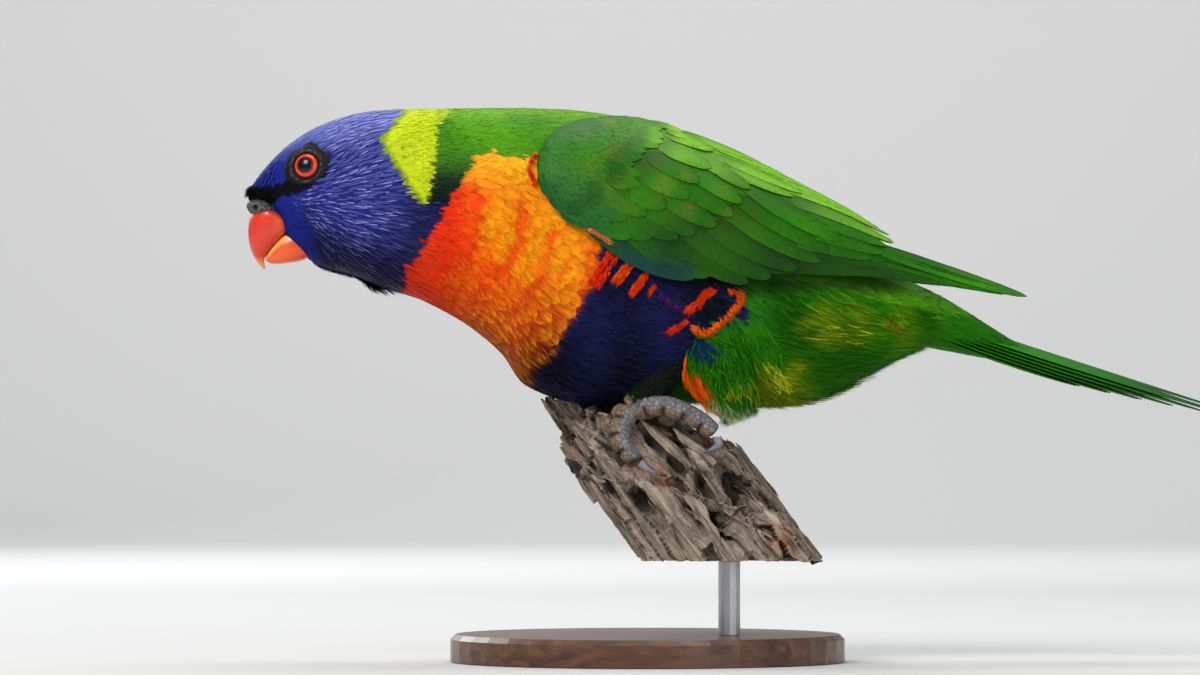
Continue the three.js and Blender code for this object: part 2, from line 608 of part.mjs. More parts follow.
function standBase() {
  const { radius, thick, chamfer, top, centre } = BASE;
  const profile = [[0, -thick], [radius, -thick], [radius, -chamfer], [radius - chamfer, 0], [0, 0]];
  const disc = new THREE.LatheGeometry(profile.map(([r, z]) => new THREE.Vector2(r, z)), 40);
  disc.rotateX(Math.PI / 2);
  disc.translate(centre[0], centre[1], top);
  return solid(disc);
}

function standRod(side) {
  const length = SAW_CUT - BASE.top - 2 * GAP;
  const rod = new THREE.CylinderGeometry(ROD.radius, ROD.radius, length, 20);
  rod.rotateX(Math.PI / 2);
  rod.translate(ROD.x, side * ROD.spread, BASE.top + GAP + length / 2);
  return solid(rod);
}

// Finishes

const finish = (color, roughness, metalness = 0) =>
  new THREE.MeshStandardMaterial({ color, roughness, metalness });
const FINISHES = {
  head: finish(0x2b2f86, 0.6),
  neck: finish(0x8fbf24, 0.65),
  chest: finish(0xf0641a, 0.65),
  belly: finish(0x1d2160, 0.65),
  rump: finish(0x2f8a1c, 0.65),
  wing: finish(0x2c8a24, 0.55),
  tail: finish(0x2f7f22, 0.55),
  thigh: finish(0x3f9a20, 0.65),
  bill: finish(0xe2452c, 0.3),
  cere: finish(0x4a4645, 0.6),
  eye: finish(0xd9402a, 0.1),
  foot: finish(0x8c8a88, 0.6),
  claw: finish(0x77757c, 0.4),
  wood: finish(0x6d5343, 0.85),
  base: finish(0x3a2a20, 0.5),
  rod: finish(0x9a9a9c, 0.3, 1),
};

// The whole object

const bird = new THREE.Group();

function add(name, whole, material) {
  const welded = solid(geometryOf(largest(whole)));
  const mesh = new THREE.Mesh(geometryOf(largest(welded)), material);
  mesh.name = name;
  bird.add(mesh);
}

const SIDES = { left: -1, right: 1 };
const bothSides = (make) => joined(Object.values(SIDES).map(make));
const wholeTrunk = trunkLength(0, LAST_STATION, GAP);

// The bill and the cere are cut clear of each other, and the head of all that is set in it.
const clearOfBill = mandible(UPPER_BILL, GAP);
const clearOfEyes = bothSides((side) => eyeball(side, GAP));
const setInHead = [clearOfBill, mandible(LOWER_BILL, GAP), cere(GAP), clearOfEyes];
const head = joined([trunkLength(...TRUNK.head), bothSides(lids)]);
add("head", head.subtract(joined(setInHead)), FINISHES.head);
add("bill_upper", mandible(UPPER_BILL), FINISHES.bill);
add("bill_lower", mandible(LOWER_BILL).subtract(clearOfBill), FINISHES.bill);
add("cere", cere().subtract(clearOfBill).subtract(bothSides(nostril)), FINISHES.cere);
for (const part of ["neck", "chest", "belly", "rump"]) {
  add(part, trunkLength(...TRUNK[part]), FINISHES[part]);
}

const wing = leftWing().subtract(wholeTrunk);
add("wing_left", wing, FINISHES.wing);
add("wing_right", mirrored(wing), FINISHES.wing);
add("tail", tail(), FINISHES.tail);

const grips = [];
for (const [name, side] of Object.entries(SIDES)) {
  const clearOfFoot = foot(side, GAP);
  grips.push(clearOfFoot);
  add(`eye_${name}`, eyeball(side), FINISHES.eye);
  add(`thigh_${name}`, thigh(side).subtract(joined([wholeTrunk, clearOfFoot])), FINISHES.thigh);
  add(`foot_${name}`, foot(side).subtract(wholeTrunk), FINISHES.foot);
  for (const toe of TOES) {
    add(`claw_${name}_${toe.name}`, claw(toe, side).subtract(clearOfFoot), FINISHES.claw);
    grips.push(claw(toe, side, GAP));
  }
}

add("perch", wood().subtract(joined(grips)), FINISHES.wood);
add("stand_base", standBase(), FINISHES.base);
add("stand_rod_left", standRod(SIDES.left), FINISHES.rod);
add("stand_rod_right", standRod(SIDES.right), FINISHES.rod);

// The origin goes under the middle of the whole object, at a round number of hundredths.
const bounds = new THREE.Box3().setFromObject(bird);
const middle = bounds.getCenter(new THREE.Vector3());
bird.position.set(-middle.x, 0, -bounds.min.z).multiplyScalar(100).round().divideScalar(100);

export default bird;
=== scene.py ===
# A rainbow lorikeet as a life-size still model, leaning forward off a splintered perch on a plain stand.
# Shapes are worked out in the bird's own frame, in millimetres: it faces -X, its left side faces -Y, +Z is
# up, and the origin is on the wood under its feet. toScene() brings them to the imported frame, in metres.
import math

import bmesh
import bpy
import numpy as np
from mathutils import Matrix, Vector, noise
from mathutils.bvhtree import BVHTree


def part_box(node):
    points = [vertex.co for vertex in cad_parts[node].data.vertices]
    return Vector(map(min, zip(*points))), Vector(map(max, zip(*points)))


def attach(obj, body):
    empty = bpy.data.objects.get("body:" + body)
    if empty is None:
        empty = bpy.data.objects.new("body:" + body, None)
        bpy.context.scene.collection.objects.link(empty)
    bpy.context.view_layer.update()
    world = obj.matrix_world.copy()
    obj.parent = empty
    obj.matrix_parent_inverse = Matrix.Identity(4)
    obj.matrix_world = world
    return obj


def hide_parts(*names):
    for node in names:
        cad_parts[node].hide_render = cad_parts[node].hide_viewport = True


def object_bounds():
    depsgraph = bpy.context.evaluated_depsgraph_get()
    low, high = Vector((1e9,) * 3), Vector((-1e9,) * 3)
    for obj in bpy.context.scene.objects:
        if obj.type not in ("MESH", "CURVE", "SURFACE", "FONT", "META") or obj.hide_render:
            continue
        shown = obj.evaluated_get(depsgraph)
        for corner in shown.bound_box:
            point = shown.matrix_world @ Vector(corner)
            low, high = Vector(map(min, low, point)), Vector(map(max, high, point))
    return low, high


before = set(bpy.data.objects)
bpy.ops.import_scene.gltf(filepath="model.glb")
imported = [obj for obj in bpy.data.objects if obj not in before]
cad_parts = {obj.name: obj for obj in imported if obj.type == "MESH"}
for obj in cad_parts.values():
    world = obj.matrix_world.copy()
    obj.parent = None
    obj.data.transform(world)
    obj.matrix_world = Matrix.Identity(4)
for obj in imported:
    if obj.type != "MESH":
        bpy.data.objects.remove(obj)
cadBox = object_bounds()

standAnchor = {"middle": 14.0, "underside": -68.0}  # the base's place in the bird's frame
baseLow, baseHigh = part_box("stand_base")
birdOrigin = np.array([
    (baseLow.x + baseHigh.x) * 500 - standAnchor["middle"], 0.0, baseLow.z * 1000 - standAnchor["underside"],
])


def toScene(points):
    return (np.asarray(points, float) + birdOrigin) / 1000


def added(name, data):  # a new object in the scene
    made = bpy.data.objects.new(name, data)
    bpy.context.scene.collection.objects.link(made)
    return made


# Camera, light and floor

photoView = {"width": 353.0, "middle": 27.2, "distance": 2600.0, "sensor": 36.0}


def makeCamera():
    view = photoView
    lens = bpy.data.cameras.new("photoLens")
    lens.sensor_width = view["sensor"]
    lens.lens = view["sensor"] * view["distance"] / view["width"]
    lens.clip_start, lens.clip_end = 0.1, 20
    camera = added("photoCamera", lens)
    camera.location = toScene([0, -view["distance"], view["middle"]])
    camera.rotation_euler = (math.pi / 2, 0, 0)
    bpy.context.scene.camera = camera


studioLights = [  # place and aim in metres, size of the panel, power and colour
    {"name": "keyPanel", "place": (-0.75, -1.1, 1.25), "size": 0.7, "power": 20, "colour": (1.0, 0.98, 0.95)},
    {"name": "fillPanel", "place": (0.9, -1.3, 0.45), "size": 1.2, "power": 6.2, "colour": (0.93, 0.96, 1.0)},
    {"name": "topPanel", "place": (0.1, 0.35, 1.2), "size": 0.8, "power": 9, "colour": (1.0, 1.0, 1.0)},
    {"name": "backPanel", "place": (-0.6, 1.0, 0.7), "size": 0.7, "power": 7, "colour": (0.95, 0.98, 1.0)},
    {"name": "paperPanel", "place": (0, 1.0, 1.0), "size": 0.9, "power": 10, "colour": (1.0, 1.0, 1.0),
     "aim": (0, 2.4, 0.6)},
]
lightAim = (-0.02, 0, 0.09)
studioAir = {"colour": (0.86, 0.9, 0.95, 1), "strength": 0.31}


def makeLights():
    for light in studioLights:
        data = bpy.data.lights.new(light["name"], "AREA")
        data.size, data.energy, data.color = light["size"], light["power"], light["colour"]
        lamp = added(light["name"], data)
        lamp.location = light["place"]
        aim = Vector(light.get("aim", lightAim))
        lamp.rotation_euler = (aim - lamp.location).to_track_quat("-Z", "Y").to_euler()
    world = bpy.data.worlds.new("studioAir")
    world.use_nodes = True
    background = world.node_tree.nodes["Background"].inputs
    background["Color"].default_value = studioAir["colour"]
    background["Strength"].default_value = studioAir["strength"]
    bpy.context.scene.world = world
    bpy.context.scene.view_settings.view_transform = "Standard"


# Shader maths: a Wire is one socket, and arithmetic on wires adds Math nodes

class Wire:
    def __init__(self, finish, socket):
        self.finish, self.socket = finish, socket

    def maths(self, operation, *values):
        return self.finish.node("Math", {"operation": operation}, dict(enumerate(values)))

    def __add__(self, other): return self.maths("ADD", self, other)
    def __radd__(self, other): return self.maths("ADD", other, self)
    def __sub__(self, other): return self.maths("SUBTRACT", self, other)
    def __rsub__(self, other): return self.maths("SUBTRACT", other, self)
    def __mul__(self, other): return self.maths("MULTIPLY", self, other)
    def __rmul__(self, other): return self.maths("MULTIPLY", other, self)
    def __truediv__(self, other): return self.maths("DIVIDE", self, other)
    def __pow__(self, other): return self.maths("POWER", self, other)
    def __abs__(self): return self.maths("ABSOLUTE", self)

    def part(self, axis):  # one of a vector's three numbers
        return self.finish.node("SeparateXYZ", {}, {0: self}, axis)

    def between(self, low, high):  # 0 below low, 1 above high, and smooth between them
        return self.finish.node(
            "MapRange", {"interpolation_type": "SMOOTHSTEP"}, {0: self, 1: low, 2: high, 3: 0.0, 4: 1.0})


class Finish:
    def __init__(self, name):
        self.material = bpy.data.materials.new(name)
        self.material.use_nodes = True
        self.tree = self.material.node_tree
        self.tree.nodes.clear()
        self.shader = self.tree.nodes.new("ShaderNodeBsdfPrincipled")
        output = self.tree.nodes.new("ShaderNodeOutputMaterial")
        self.tree.links.new(self.shader.outputs[0], output.inputs["Surface"])

    def feed(self, socket, value):
        if isinstance(value, Wire):
            self.tree.links.new(value.socket, socket)
        elif isinstance(value, (tuple, np.ndarray)) and len(value) == 3 and len(socket.default_value) == 4:
            socket.default_value = (*value, 1)
        else:
            socket.default_value = value

    def node(self, kind, settings, inputs, output=0):
        made = self.tree.nodes.new("ShaderNode" + kind)
        for key, value in settings.items():
            setattr(made, key, value)
        for key, value in inputs.items():
            self.feed(made.inputs[key], value)
        return Wire(self, made.outputs[output])

    def set(self, **values):  # names of the shader's sockets, with spaces left out
        for socket in self.shader.inputs:
            key = socket.name.replace(" ", "")
            if key in values:
                self.feed(socket, values[key])
        return self

    def here(self): return self.node("TexCoord", {}, {}, 3)  # Object coordinates

    def map(self, name): return self.node("UVMap", {"uv_map": name}, {})

    def attribute(self, name, output=0): return self.node("VertexColor", {"layer_name": name}, {}, output)

    def noise(self, place, scale, detail=2.0, rough=0.5, distortion=0.0):
        return self.node("TexNoise", {}, {
            "Vector": place, "Scale": scale, "Detail": detail, "Roughness": rough, "Distortion": distortion})

    def cells(self, place, scale, feature="F1"):
        return self.node("TexVoronoi", {"feature": feature}, {"Vector": place, "Scale": scale})

    def vector(self, x, y, z): return self.node("CombineXYZ", {}, {0: x, 1: y, 2: z})

    def stretched(self, place, stretch, turn=(0.0, 0.0, 0.0)):
        return self.node("Mapping", {"vector_type": "TEXTURE"}, {
            "Vector": place, "Scale": stretch, "Rotation": turn})

    def blend(self, share, first, second):
        return self.node("Mix", {"data_type": "RGBA"}, {0: share, 6: first, 7: second}, 2)

    def shade(self, colour, factor):  # a colour made lighter or darker
        return self.node("VectorMath", {"operation": "SCALE"}, {0: colour, "Scale": factor})

    def ramp(self, share, stops):
        made = self.tree.nodes.new("ShaderNodeValToRGB")
        points = made.color_ramp.elements
        while len(points) < len(stops):
            points.new(0.5)
        for point, (place, colour) in zip(points, stops):
            point.position, point.color = place, (*colour, 1)
        self.feed(made.inputs[0], share)
        return Wire(self, made.outputs[0])

    def bump(self, height, strength, depth, under=None):
        inputs = {"Height": height, "Strength": strength, "Distance": depth}
        if under:
            inputs["Normal"] = under
        return self.node("Bump", {}, inputs)


def grainy(name, scale, light, rough, relief, detail=3, **more):  # the tint of a mesh, broken up by fine noise
    finish = Finish(name)
    grain = finish.noise(finish.here(), scale, detail)
    return finish.set(
        BaseColor=finish.shade(finish.attribute("tint"), light[0] + grain * light[1]),
        Roughness=rough[0] + grain * rough[1], Normal=finish.bump(grain, *relief), **more)


def rgb(red, green, blue):  # a colour as seen on a screen, 0 to 255, as light
    return (np.array([red, green, blue]) / 255) ** 2.2


# Smooth lines and the surfaces that the feathers lie on

def splineThrough(points):
    knots = np.asarray(points, float)
    padded = np.vstack([2 * knots[0] - knots[1], knots, 2 * knots[-1] - knots[-2]])
    last = len(knots) - 1

    def at(along):
        place = np.clip(np.asarray(along, float), 0, 1) * last
        i = np.minimum(place.astype(int), last - 1)
        w = (place - i)[..., None]
        before, start, end, after = (padded[i + k] for k in range(4))
        leave, arrive = (end - before) / 2, (after - start) / 2
        return ((2 * w**3 - 3 * w**2 + 1) * start + (w**3 - 2 * w**2 + w) * leave
                + (3 * w**2 - 2 * w**3) * end + (w**3 - w**2) * arrive)

    return at


def unit(vectors):
    return vectors / np.maximum(np.linalg.norm(vectors, axis=-1, keepdims=True), 1e-9)


def smoothStep(x, low, high):
    t = np.clip((x - low) / (high - low), 0, 1)
    return t * t * (3 - 2 * t)


def mix(a, b, share):
    return a + (b - a) * share


# The trunk's stations, as in the solids: back x and z, belly x and z, half width, and how much wider low down
trunkStations = [
    (-102.6, 66.6, -87.6, 52.6, 3.6, 0), (-103.6, 68.6, -85.6, 50.2, 5.2, 0),
    (-102.3, 72.0, -83.0, 48.6, 7.2, 0.02), (-99.6, 75.8, -79.6, 47.2, 10.2, 0.04),
    (-95.3, 80.6, -75.6, 46.2, 13.0, 0.06), (-89.4, 85.6, -71.0, 44.8, 15.2, 0.08),
    (-81.8, 89.8, -66.0, 42.6, 16.6, 0.08), (-72.0, 93.0, -60.0, 40.6, 17.8, 0.06),
    (-61.0, 94.2, -53.0, 38.4, 19.0, 0.04), (-48.0, 94.4, -45.0, 34.6, 21.4, 0.03),
    (-34.0, 94.6, -36.8, 29.4, 24.0, 0.03), (-20.0, 94.6, -29.0, 22.6, 26.2, 0.02),
    (-6.0, 93.8, -22.0, 13.6, 27.6, 0), (8.0, 91.6, -9.0, 8.4, 28.2, -0.02),
    (21.0, 87.6, 7.0, 7.0, 27.8, -0.04), (33.0, 82.4, 23.0, 8.0, 26.4, -0.04),
    (45.0, 75.6, 38.0, 7.6, 24.0, -0.03), (56.5, 67.6, 52.0, 7.2, 21.2, -0.02),
    (68.5, 58.6, 65.0, 10.2, 17.8, 0), (80.5, 50.2, 77.0, 15.6, 14.6, 0),
    (91.5, 43.6, 87.0, 20.6, 12.2, 0), (100.5, 39.6, 95.6, 24.4, 10.6, 0),
]
lastStation = len(trunkStations) - 1
trunkLine = splineThrough(trunkStations)
fullness = 0.9


def fuller(share):
    return np.sign(share) * np.abs(share) ** fullness


def trunkPoint(place, grow=0.0):
    # place is a station, and an angle that is 0 on the back and positive on the left
    line = trunkLine(place[..., 0] / lastStation)
    angle = place[..., 1]
    nought = np.zeros_like(angle)
    back = np.stack([line[..., 0], nought, line[..., 1]], -1)
    belly = np.stack([line[..., 2], nought, line[..., 3]], -1)
    depth = np.linalg.norm(back - belly, axis=-1) / 2 + grow
    wide = (line[..., 4] + grow) * (1 - line[..., 5] * np.cos(angle))
    point = (back + belly) / 2 + unit(back - belly) * (depth * fuller(np.cos(angle)))[..., None]
    return point - np.stack([nought, wide * fuller(np.sin(angle)), nought], -1)


# The folded left wing, as in the solids: upper edge, lower edge, and the swell between them
wingStations = [
    (-18.5, -23.2, 77.5, -18.5, -24.2, 74.5, 0.5), (-16.0, -19.1, 85.0, -15.8, -27.4, 68.5, 3),
    (-9.0, -14.9, 90.0, -9.0, -29.4, 61.5, 5.5), (4.0, -10.2, 92.2, 4.0, -30.3, 53.5, 8),
    (20.0, -7.4, 90.0, 20.0, -30.1, 46.5, 9), (36.0, -6.0, 83.6, 38.0, -27.9, 43.6, 8.5),
    (52.0, -5.1, 75.8, 55.0, -23.6, 43.8, 7), (70.0, -4.7, 66.6, 73.0, -18.2, 44.3, 5),
    (88.0, -4.2, 55.8, 91.0, -13.2, 43.2, 3), (108.0, -3.7, 47.0, 109.0, -9.1, 40.6, 1.4),
    (127.0, -3.7, 39.5, 127.0, -6.0, 37.4, 0.4),
]
lastWing = len(wingStations) - 1
wingLine = splineThrough(wingStations)


def wingPoint(place):
    # place is a station from the bend to the tip, and 0 at the upper edge to 1 at the lower
    line = wingLine(place[..., 0] / lastWing)
    upper, lower, down = line[..., :3], line[..., 3:6], place[..., 1]
    outwards = unit(np.stack(
        [np.zeros_like(down), lower[..., 2] - upper[..., 2], upper[..., 1] - lower[..., 1]], -1))
    swell = line[..., 6] * 4 * down * (1 - down)
    return mix(upper, lower, down[..., None]) + outwards * swell[..., None]


def wingBeside(x):  # the wing's upper and lower edges and swell where its upper edge passes x
    return wingLine(np.interp(x, [s[0] for s in wingStations], np.arange(lastWing + 1)) / lastWing)


# The tail's middle line, its slope and the length that the solids give it
tailPlace = {"base": (70.0, 0.0, 40.5), "slope": 18, "length": 122.0}
tailSlope = math.radians(tailPlace["slope"])
tailAhead = np.array([math.cos(tailSlope), 0, -math.sin(tailSlope)])
tailUp = np.array([math.sin(tailSlope), 0, math.cos(tailSlope)])


def tailPoint(ahead, across, above):
    ahead, across, above = np.broadcast_arrays(*(np.asarray(v, float) for v in (ahead, across, above)))
    side = np.array([0.0, 1.0, 0.0])
    return (np.array(tailPlace["base"]) + ahead[..., None] * tailAhead + across[..., None] * side
            + above[..., None] * tailUp)


class Surface:
    def __init__(self, pointAt, span, closed=False):
        # span is how far the first number of a place goes, and in a closed one the second is an angle
        self.pointAt, self.span, self.closed = pointAt, span, closed

    def frame(self, place):
        short = 1e-3
        place = place.copy()
        place[..., 0] = np.clip(place[..., 0], 0, self.span - 2 * short)
        point = self.pointAt(place)
        along = (self.pointAt(place + [short, 0]) - point) / short
        across = (self.pointAt(place + [0, short]) - point) / short
        return point, along, across, unit(np.cross(across, along))

    def step(self, place, way, long):  # the change of place that goes so many millimetres that way
        _, along, across, _ = self.frame(place)
        aa, bb, ab = ((p * q).sum(-1) for p, q in ((along, along), (across, across), (along, across)))
        da, db = (along * way).sum(-1), (across * way).sum(-1)
        det = aa * bb - ab * ab
        a, b = (da * bb - db * ab) / det, (db * aa - da * ab) / det
        reach = np.linalg.norm(along * a[..., None] + across * b[..., None], axis=-1)
        return np.stack([a, b], -1) * (long / np.maximum(reach, 1e-9))[..., None]


trunk = Surface(trunkPoint, lastStation, True)
wingTop = Surface(wingPoint, lastWing)


# Even but irregular places on a surface: darts thrown at random, kept where none lies too near

def throwDarts(surface, low, high, spacing, keep, seed, probes=4000, tries=9):
    chance = np.random.default_rng(seed)

    def thrown(count):  # places, their points, and how large the surface is there
        place = chance.uniform(low, high, (count, 2))
        point, along, across, _ = surface.frame(place)
        return place, point, np.linalg.norm(np.cross(along, across), axis=-1)

    place, _, patch = thrown(probes)
    area = patch.mean() * np.prod(np.subtract(high, low))
    finest = float(np.min(spacing(surface.pointAt(place))))
    place, point, patch = thrown(int(tries * area / finest**2))
    wanted = (chance.random(len(place)) < patch / patch.max()) & keep(point, place)
    place, point = place[wanted], point[wanted]
    reach, kept, grid = spacing(point), [], {}
    cells = np.floor(point / float(reach.max())).astype(int).tolist()
    around = [(i, j, k) for i in (-1, 0, 1) for j in (-1, 0, 1) for k in (-1, 0, 1)]
    for n, ((i, j, k), (x, y, z), r) in enumerate(zip(cells, point.tolist(), reach.tolist())):
        near = (spot for di, dj, dk in around for spot in grid.get((i + di, j + dj, k + dk), ()))
        if all((a - x) ** 2 + (b - y) ** 2 + (c - z) ** 2 >= r * r for a, b, c in near):
            grid.setdefault((i, j, k), []).append((x, y, z))
            kept.append(n)
    return place[kept]


# how far roots leave their places, as shares of the gaps between them, and the wave's patches: size and seed
rowUnrest = {"aside": 0.14, "wave": 0.22, "patch": (13, 51), "stray": 0.05}


def setRows(surface, low, high, gaps, keep, seed):  # roots in staggered rows across the body
    chance = np.random.default_rng(seed)
    found, station, odd = [], low[0], 0
    turns = np.linspace(low[1], high[1], 400)
    while station < high[0]:
        ring = surface.pointAt(np.stack([np.full(len(turns), station), turns], -1))
        arc = np.concatenate([[0], np.cumsum(np.linalg.norm(np.diff(ring, axis=0), axis=-1))])
        spots = np.arange(arc[-1] / gaps[1]) * gaps[1] + (gaps[1] / 2 if odd else 0)
        spots = spots + gaps[1] * rowUnrest["aside"] * chance.standard_normal(len(spots))
        row = np.stack([np.full(len(spots), station), np.interp(spots, arc, turns)], -1)
        _, along, _, _ = surface.frame(row)
        wave = rowUnrest["wave"] * patchy(surface.pointAt(row), *rowUnrest["patch"])
        wave = wave + rowUnrest["stray"] * chance.standard_normal(len(spots))
        row[:, 0] += gaps[0] * wave / np.linalg.norm(along, axis=-1)
        found.append(row)
        station += gaps[0] / float(np.linalg.norm(along, axis=-1).mean())
        odd = 1 - odd
    place = np.concatenate(found)
    return place[keep(surface.pointAt(place), place)]


# Meshes from arrays, for the many small feathers, barbs and splinters

def meshPiece(name, points, faces, tint=None, maps=None, smooth=True, sharp=None):
    mesh = bpy.data.meshes.new(name)
    points, faces = np.asarray(points, float).reshape(-1, 3), [np.asarray(f) for f in faces]
    corners = np.concatenate([f.ravel() for f in faces]).astype(np.int32)
    sizes = np.concatenate([np.full(len(f), f.shape[1]) for f in faces])
    mesh.vertices.add(len(points))
    mesh.vertices.foreach_set("co", toScene(points).astype(np.float32).ravel())
    mesh.loops.add(len(corners))
    mesh.loops.foreach_set("vertex_index", corners)
    mesh.polygons.add(len(sizes))
    mesh.polygons.foreach_set("loop_start", np.concatenate([[0], np.cumsum(sizes)[:-1]]).astype(np.int32))
    mesh.polygons.foreach_set("use_smooth", np.full(len(sizes), smooth))
    mesh.update(calc_edges=True)
    for key, values in (maps or {}).items():
        layer = mesh.uv_layers.new(name=key)
        layer.data.foreach_set("uv", values[corners].astype(np.float32).ravel())
    if tint is not None:
        layer = mesh.color_attributes.new("tint", "FLOAT_COLOR", "POINT")
        layer.data.foreach_set("color", tint.astype(np.float32).ravel())
    if sharp is not None:
        ends = np.empty(len(mesh.edges) * 2, np.int32)
        mesh.edges.foreach_get("vertices", ends)
        first, second = ends.reshape(-1, 2).T
        crease = mesh.attributes.new("sharp_edge", "BOOLEAN", "EDGE")
        crease.data.foreach_set("value", sharp[first] & sharp[second])
    return added(name, mesh)


def put(piece, finish, replaced=()):
    piece.data.materials.clear()
    piece.data.materials.append(finish.material)
    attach(piece, "root")
    if replaced:
        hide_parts(*replaced)
    return piece


# Vanes: each is a thin closed plate with a raised shaft, laid on a surface from its root to its tip

outlines = {
    "round": lambda t: np.clip(0.62 + 1.2 * t, 0, 1) * np.sqrt(np.clip(1 - t**3.2, 0, 1)),
    "lance": lambda t: np.clip(0.55 + 1.4 * t, 0, 1) * np.clip(1 - t**2.2, 0, 1) ** 0.8,
    "long": lambda t: np.clip(0.5 + 1.3 * t, 0, 1) * np.sqrt(np.clip(1 - t**6, 0, 1)) * (1 - 0.25 * t**3),
    "blade": lambda t: np.clip(0.5 + 1.3 * t, 0, 1) * np.sqrt(np.clip(1 - t**4.5, 0, 1)) * (1 - 0.12 * t**2),
    "sharp": lambda t: np.clip(0.7 + t, 0, 1) * np.clip(1 - t**3, 0, 1) ** 0.8,
    "flat": lambda t: np.clip(0.62 + 1.2 * t, 0, 1) * np.sqrt(np.clip(1 - t**8, 0, 1)),
    "soft": lambda t: np.clip(0.5 + 1.5 * t, 0, 1) * np.clip(1 - t**3.2, 0, 1) ** 0.6,
}
ringCorners = np.array([-1.0, 0.0, 1.0, 0.0])  # left edge, shaft, right edge, underside


def flipped(quads):  # the same faces, turned round; a triangle is written with its last corner twice
    return np.where(quads[:, 2:3] == quads[:, 3:], quads[:, [1, 0, 2, 2]], quads[:, ::-1])


def turnedOut(corners, quads):  # the faces of closed bodies, turned to look outwards
    a, b, c, d = (corners.reshape(-1, 3)[quads[:, k]] for k in range(4))
    volume = (np.cross(a, b) * c).sum() + (np.cross(a, c) * d).sum()
    return quads if volume > 0 else flipped(quads)


class Vanes:  # many vanes of one kind, gathered from several rows
    def __init__(self):
        self.rows, self.count = [], 0

    def append(self, points, quads, tints, vane, bake, creased):
        points = points.reshape(-1, 3)
        if tints.shape[-1] == 3:  # the fourth number says how much of the pale shaft shows
            tints = np.concatenate([tints, np.zeros(tints.shape[:-1] + (1,))], -1)
        self.rows.append((points, quads + self.count, tints.reshape(-1, 4), vane.reshape(-1, 2),
                          bake.reshape(-1, 2), creased.reshape(-1)))
        self.count += len(points)

    def mirrored(self):
        other = Vanes()
        other.rows = [(points * [1, -1, 1], flipped(quads), tints, vane, [1, 0] + bake * [-1, 1], creased)
                      for points, quads, tints, vane, bake, creased in self.rows]
        other.count = self.count
        return other

    def extend(self, other):
        self.rows += [(points, quads + self.count, *rest) for points, quads, *rest in other.rows]
        self.count += other.count

    def piece(self, name):
        points, quads, tints, vane, bake, creased = (np.concatenate(column) for column in zip(*self.rows))
        flat = quads[:, 2] == quads[:, 3]
        faces = [some for some in (quads[~flat], quads[flat][:, :3]) if len(some)]
        print(name, "has", len(quads) + int((~flat).sum()), "triangles")
        return meshPiece(name, points, faces, tints, {"vane": vane, "OFBake": bake}, sharp=creased)


def bakePlace(surface, place):  # the root's place on the surface unrolled, inside the unit square
    if surface.closed:
        return np.stack([0.5 + place[:, 1] / (2 * math.pi) * 0.98, 0.01 + place[:, 0] / surface.span * 0.98],
                        -1)
    return np.stack([0.02 + place[:, 0] / surface.span * 0.96, 0.02 + np.clip(place[:, 1], 0, 1) * 0.96], -1)


def vaneQuads(count, rings):  # the faces of count vanes of the same number of rings
    ring = np.arange(rings)[:, None] * 4
    j = np.arange(4)[None, :]
    k = (j + 1) % 4
    sides = np.stack([ring + j, ring + k, ring + 4 + k, ring + 4 + j], -1).reshape(-1, 4)
    last = rings * 4
    ends = np.array([[3, 2, 1, 0], [last, last + 1, last + 2, last + 3]])
    one = np.concatenate([sides, ends])
    return (one[None] + np.arange(count)[:, None, None] * (rings + 1) * 4).reshape(-1, 4)


vaneBase = {"rise": 1.0, "loose": 0, "roll": 0, "unrest": 0, "ragged": 0, "least": 0.1, "patch": 0.003}


def layVanes(into, surface, root, tip, half, changes, paint, chance):
    # root and tip are places, half the half widths, changes what differs from vaneBase, and paint gives colours
    style = {**vaneBase, **changes}
    count, rings = len(root), style["rings"]
    even = np.arange(rings + 1) / rings
    t = 0.4 * even + 0.6 * np.sin(np.pi / 2 * even)
    point, _, _, normal = surface.frame(root[:, None] + (tip - root)[:, None] * t[None, :, None])
    lift = style["lift"] * (1 + style["loose"] * chance.standard_normal(count))
    height = mix(style["sunk"], lift[:, None], (t ** style["rise"])[None, :])
    centre = point + normal * height[..., None]
    ahead = unit(np.gradient(centre, axis=1))
    side = unit(np.cross(ahead, normal))
    out = np.cross(side, ahead)
    roll = math.radians(style["roll"]) + math.radians(style["unrest"]) * chance.standard_normal(count)
    roll = roll[:, None, None]
    side, out = side * np.cos(roll) + out * np.sin(roll), out * np.cos(roll) - side * np.sin(roll)
    width = half[:, None] * np.maximum(outlines[style["outline"]](t), style["least"])[None, :]
    ragged = width[..., None] * (1 + style["ragged"] * chance.uniform(-1, 1, (count, rings + 1, 2)))
    droop = out * (width * style["camber"])[..., None]
    thick = style["thick"] * np.clip(width / half[:, None] + 0.1, 0, 1)[..., None]
    corners = np.stack([
        centre - side * ragged[..., :1] - droop, centre + out * style["ridge"],
        centre + side * ragged[..., 1:] - droop, centre - out * thick - droop * 0.3], 2)
    tints = paint(centre, t, chance)
    length = np.linalg.norm(np.diff(centre, axis=1), axis=-1).sum(1)
    seed = chance.random(count)[:, None, None] * 50
    vane = np.stack(np.broadcast_arrays(
        ringCorners * width[..., None], (t * length[:, None])[..., None] + seed), -1)
    start = bakePlace(surface, root)
    bake = start[:, None, None] + style["patch"] * np.stack(
        np.broadcast_arrays(ringCorners * 0.5, (t - 0.5)[:, None]), -1)
    creased = np.zeros((count, rings + 1, 4), bool)
    creased[:, :, ::2] = True
    creased[:, [0, -1]] = True
    into.append(corners, turnedOut(corners, vaneQuads(count, rings)), tints, vane, bake, creased)
    return {"centre": centre, "ahead": ahead, "side": side, "out": out, "width": width, "t": t, "start": start,
            "tints": tints[:, :, 0, :3]}


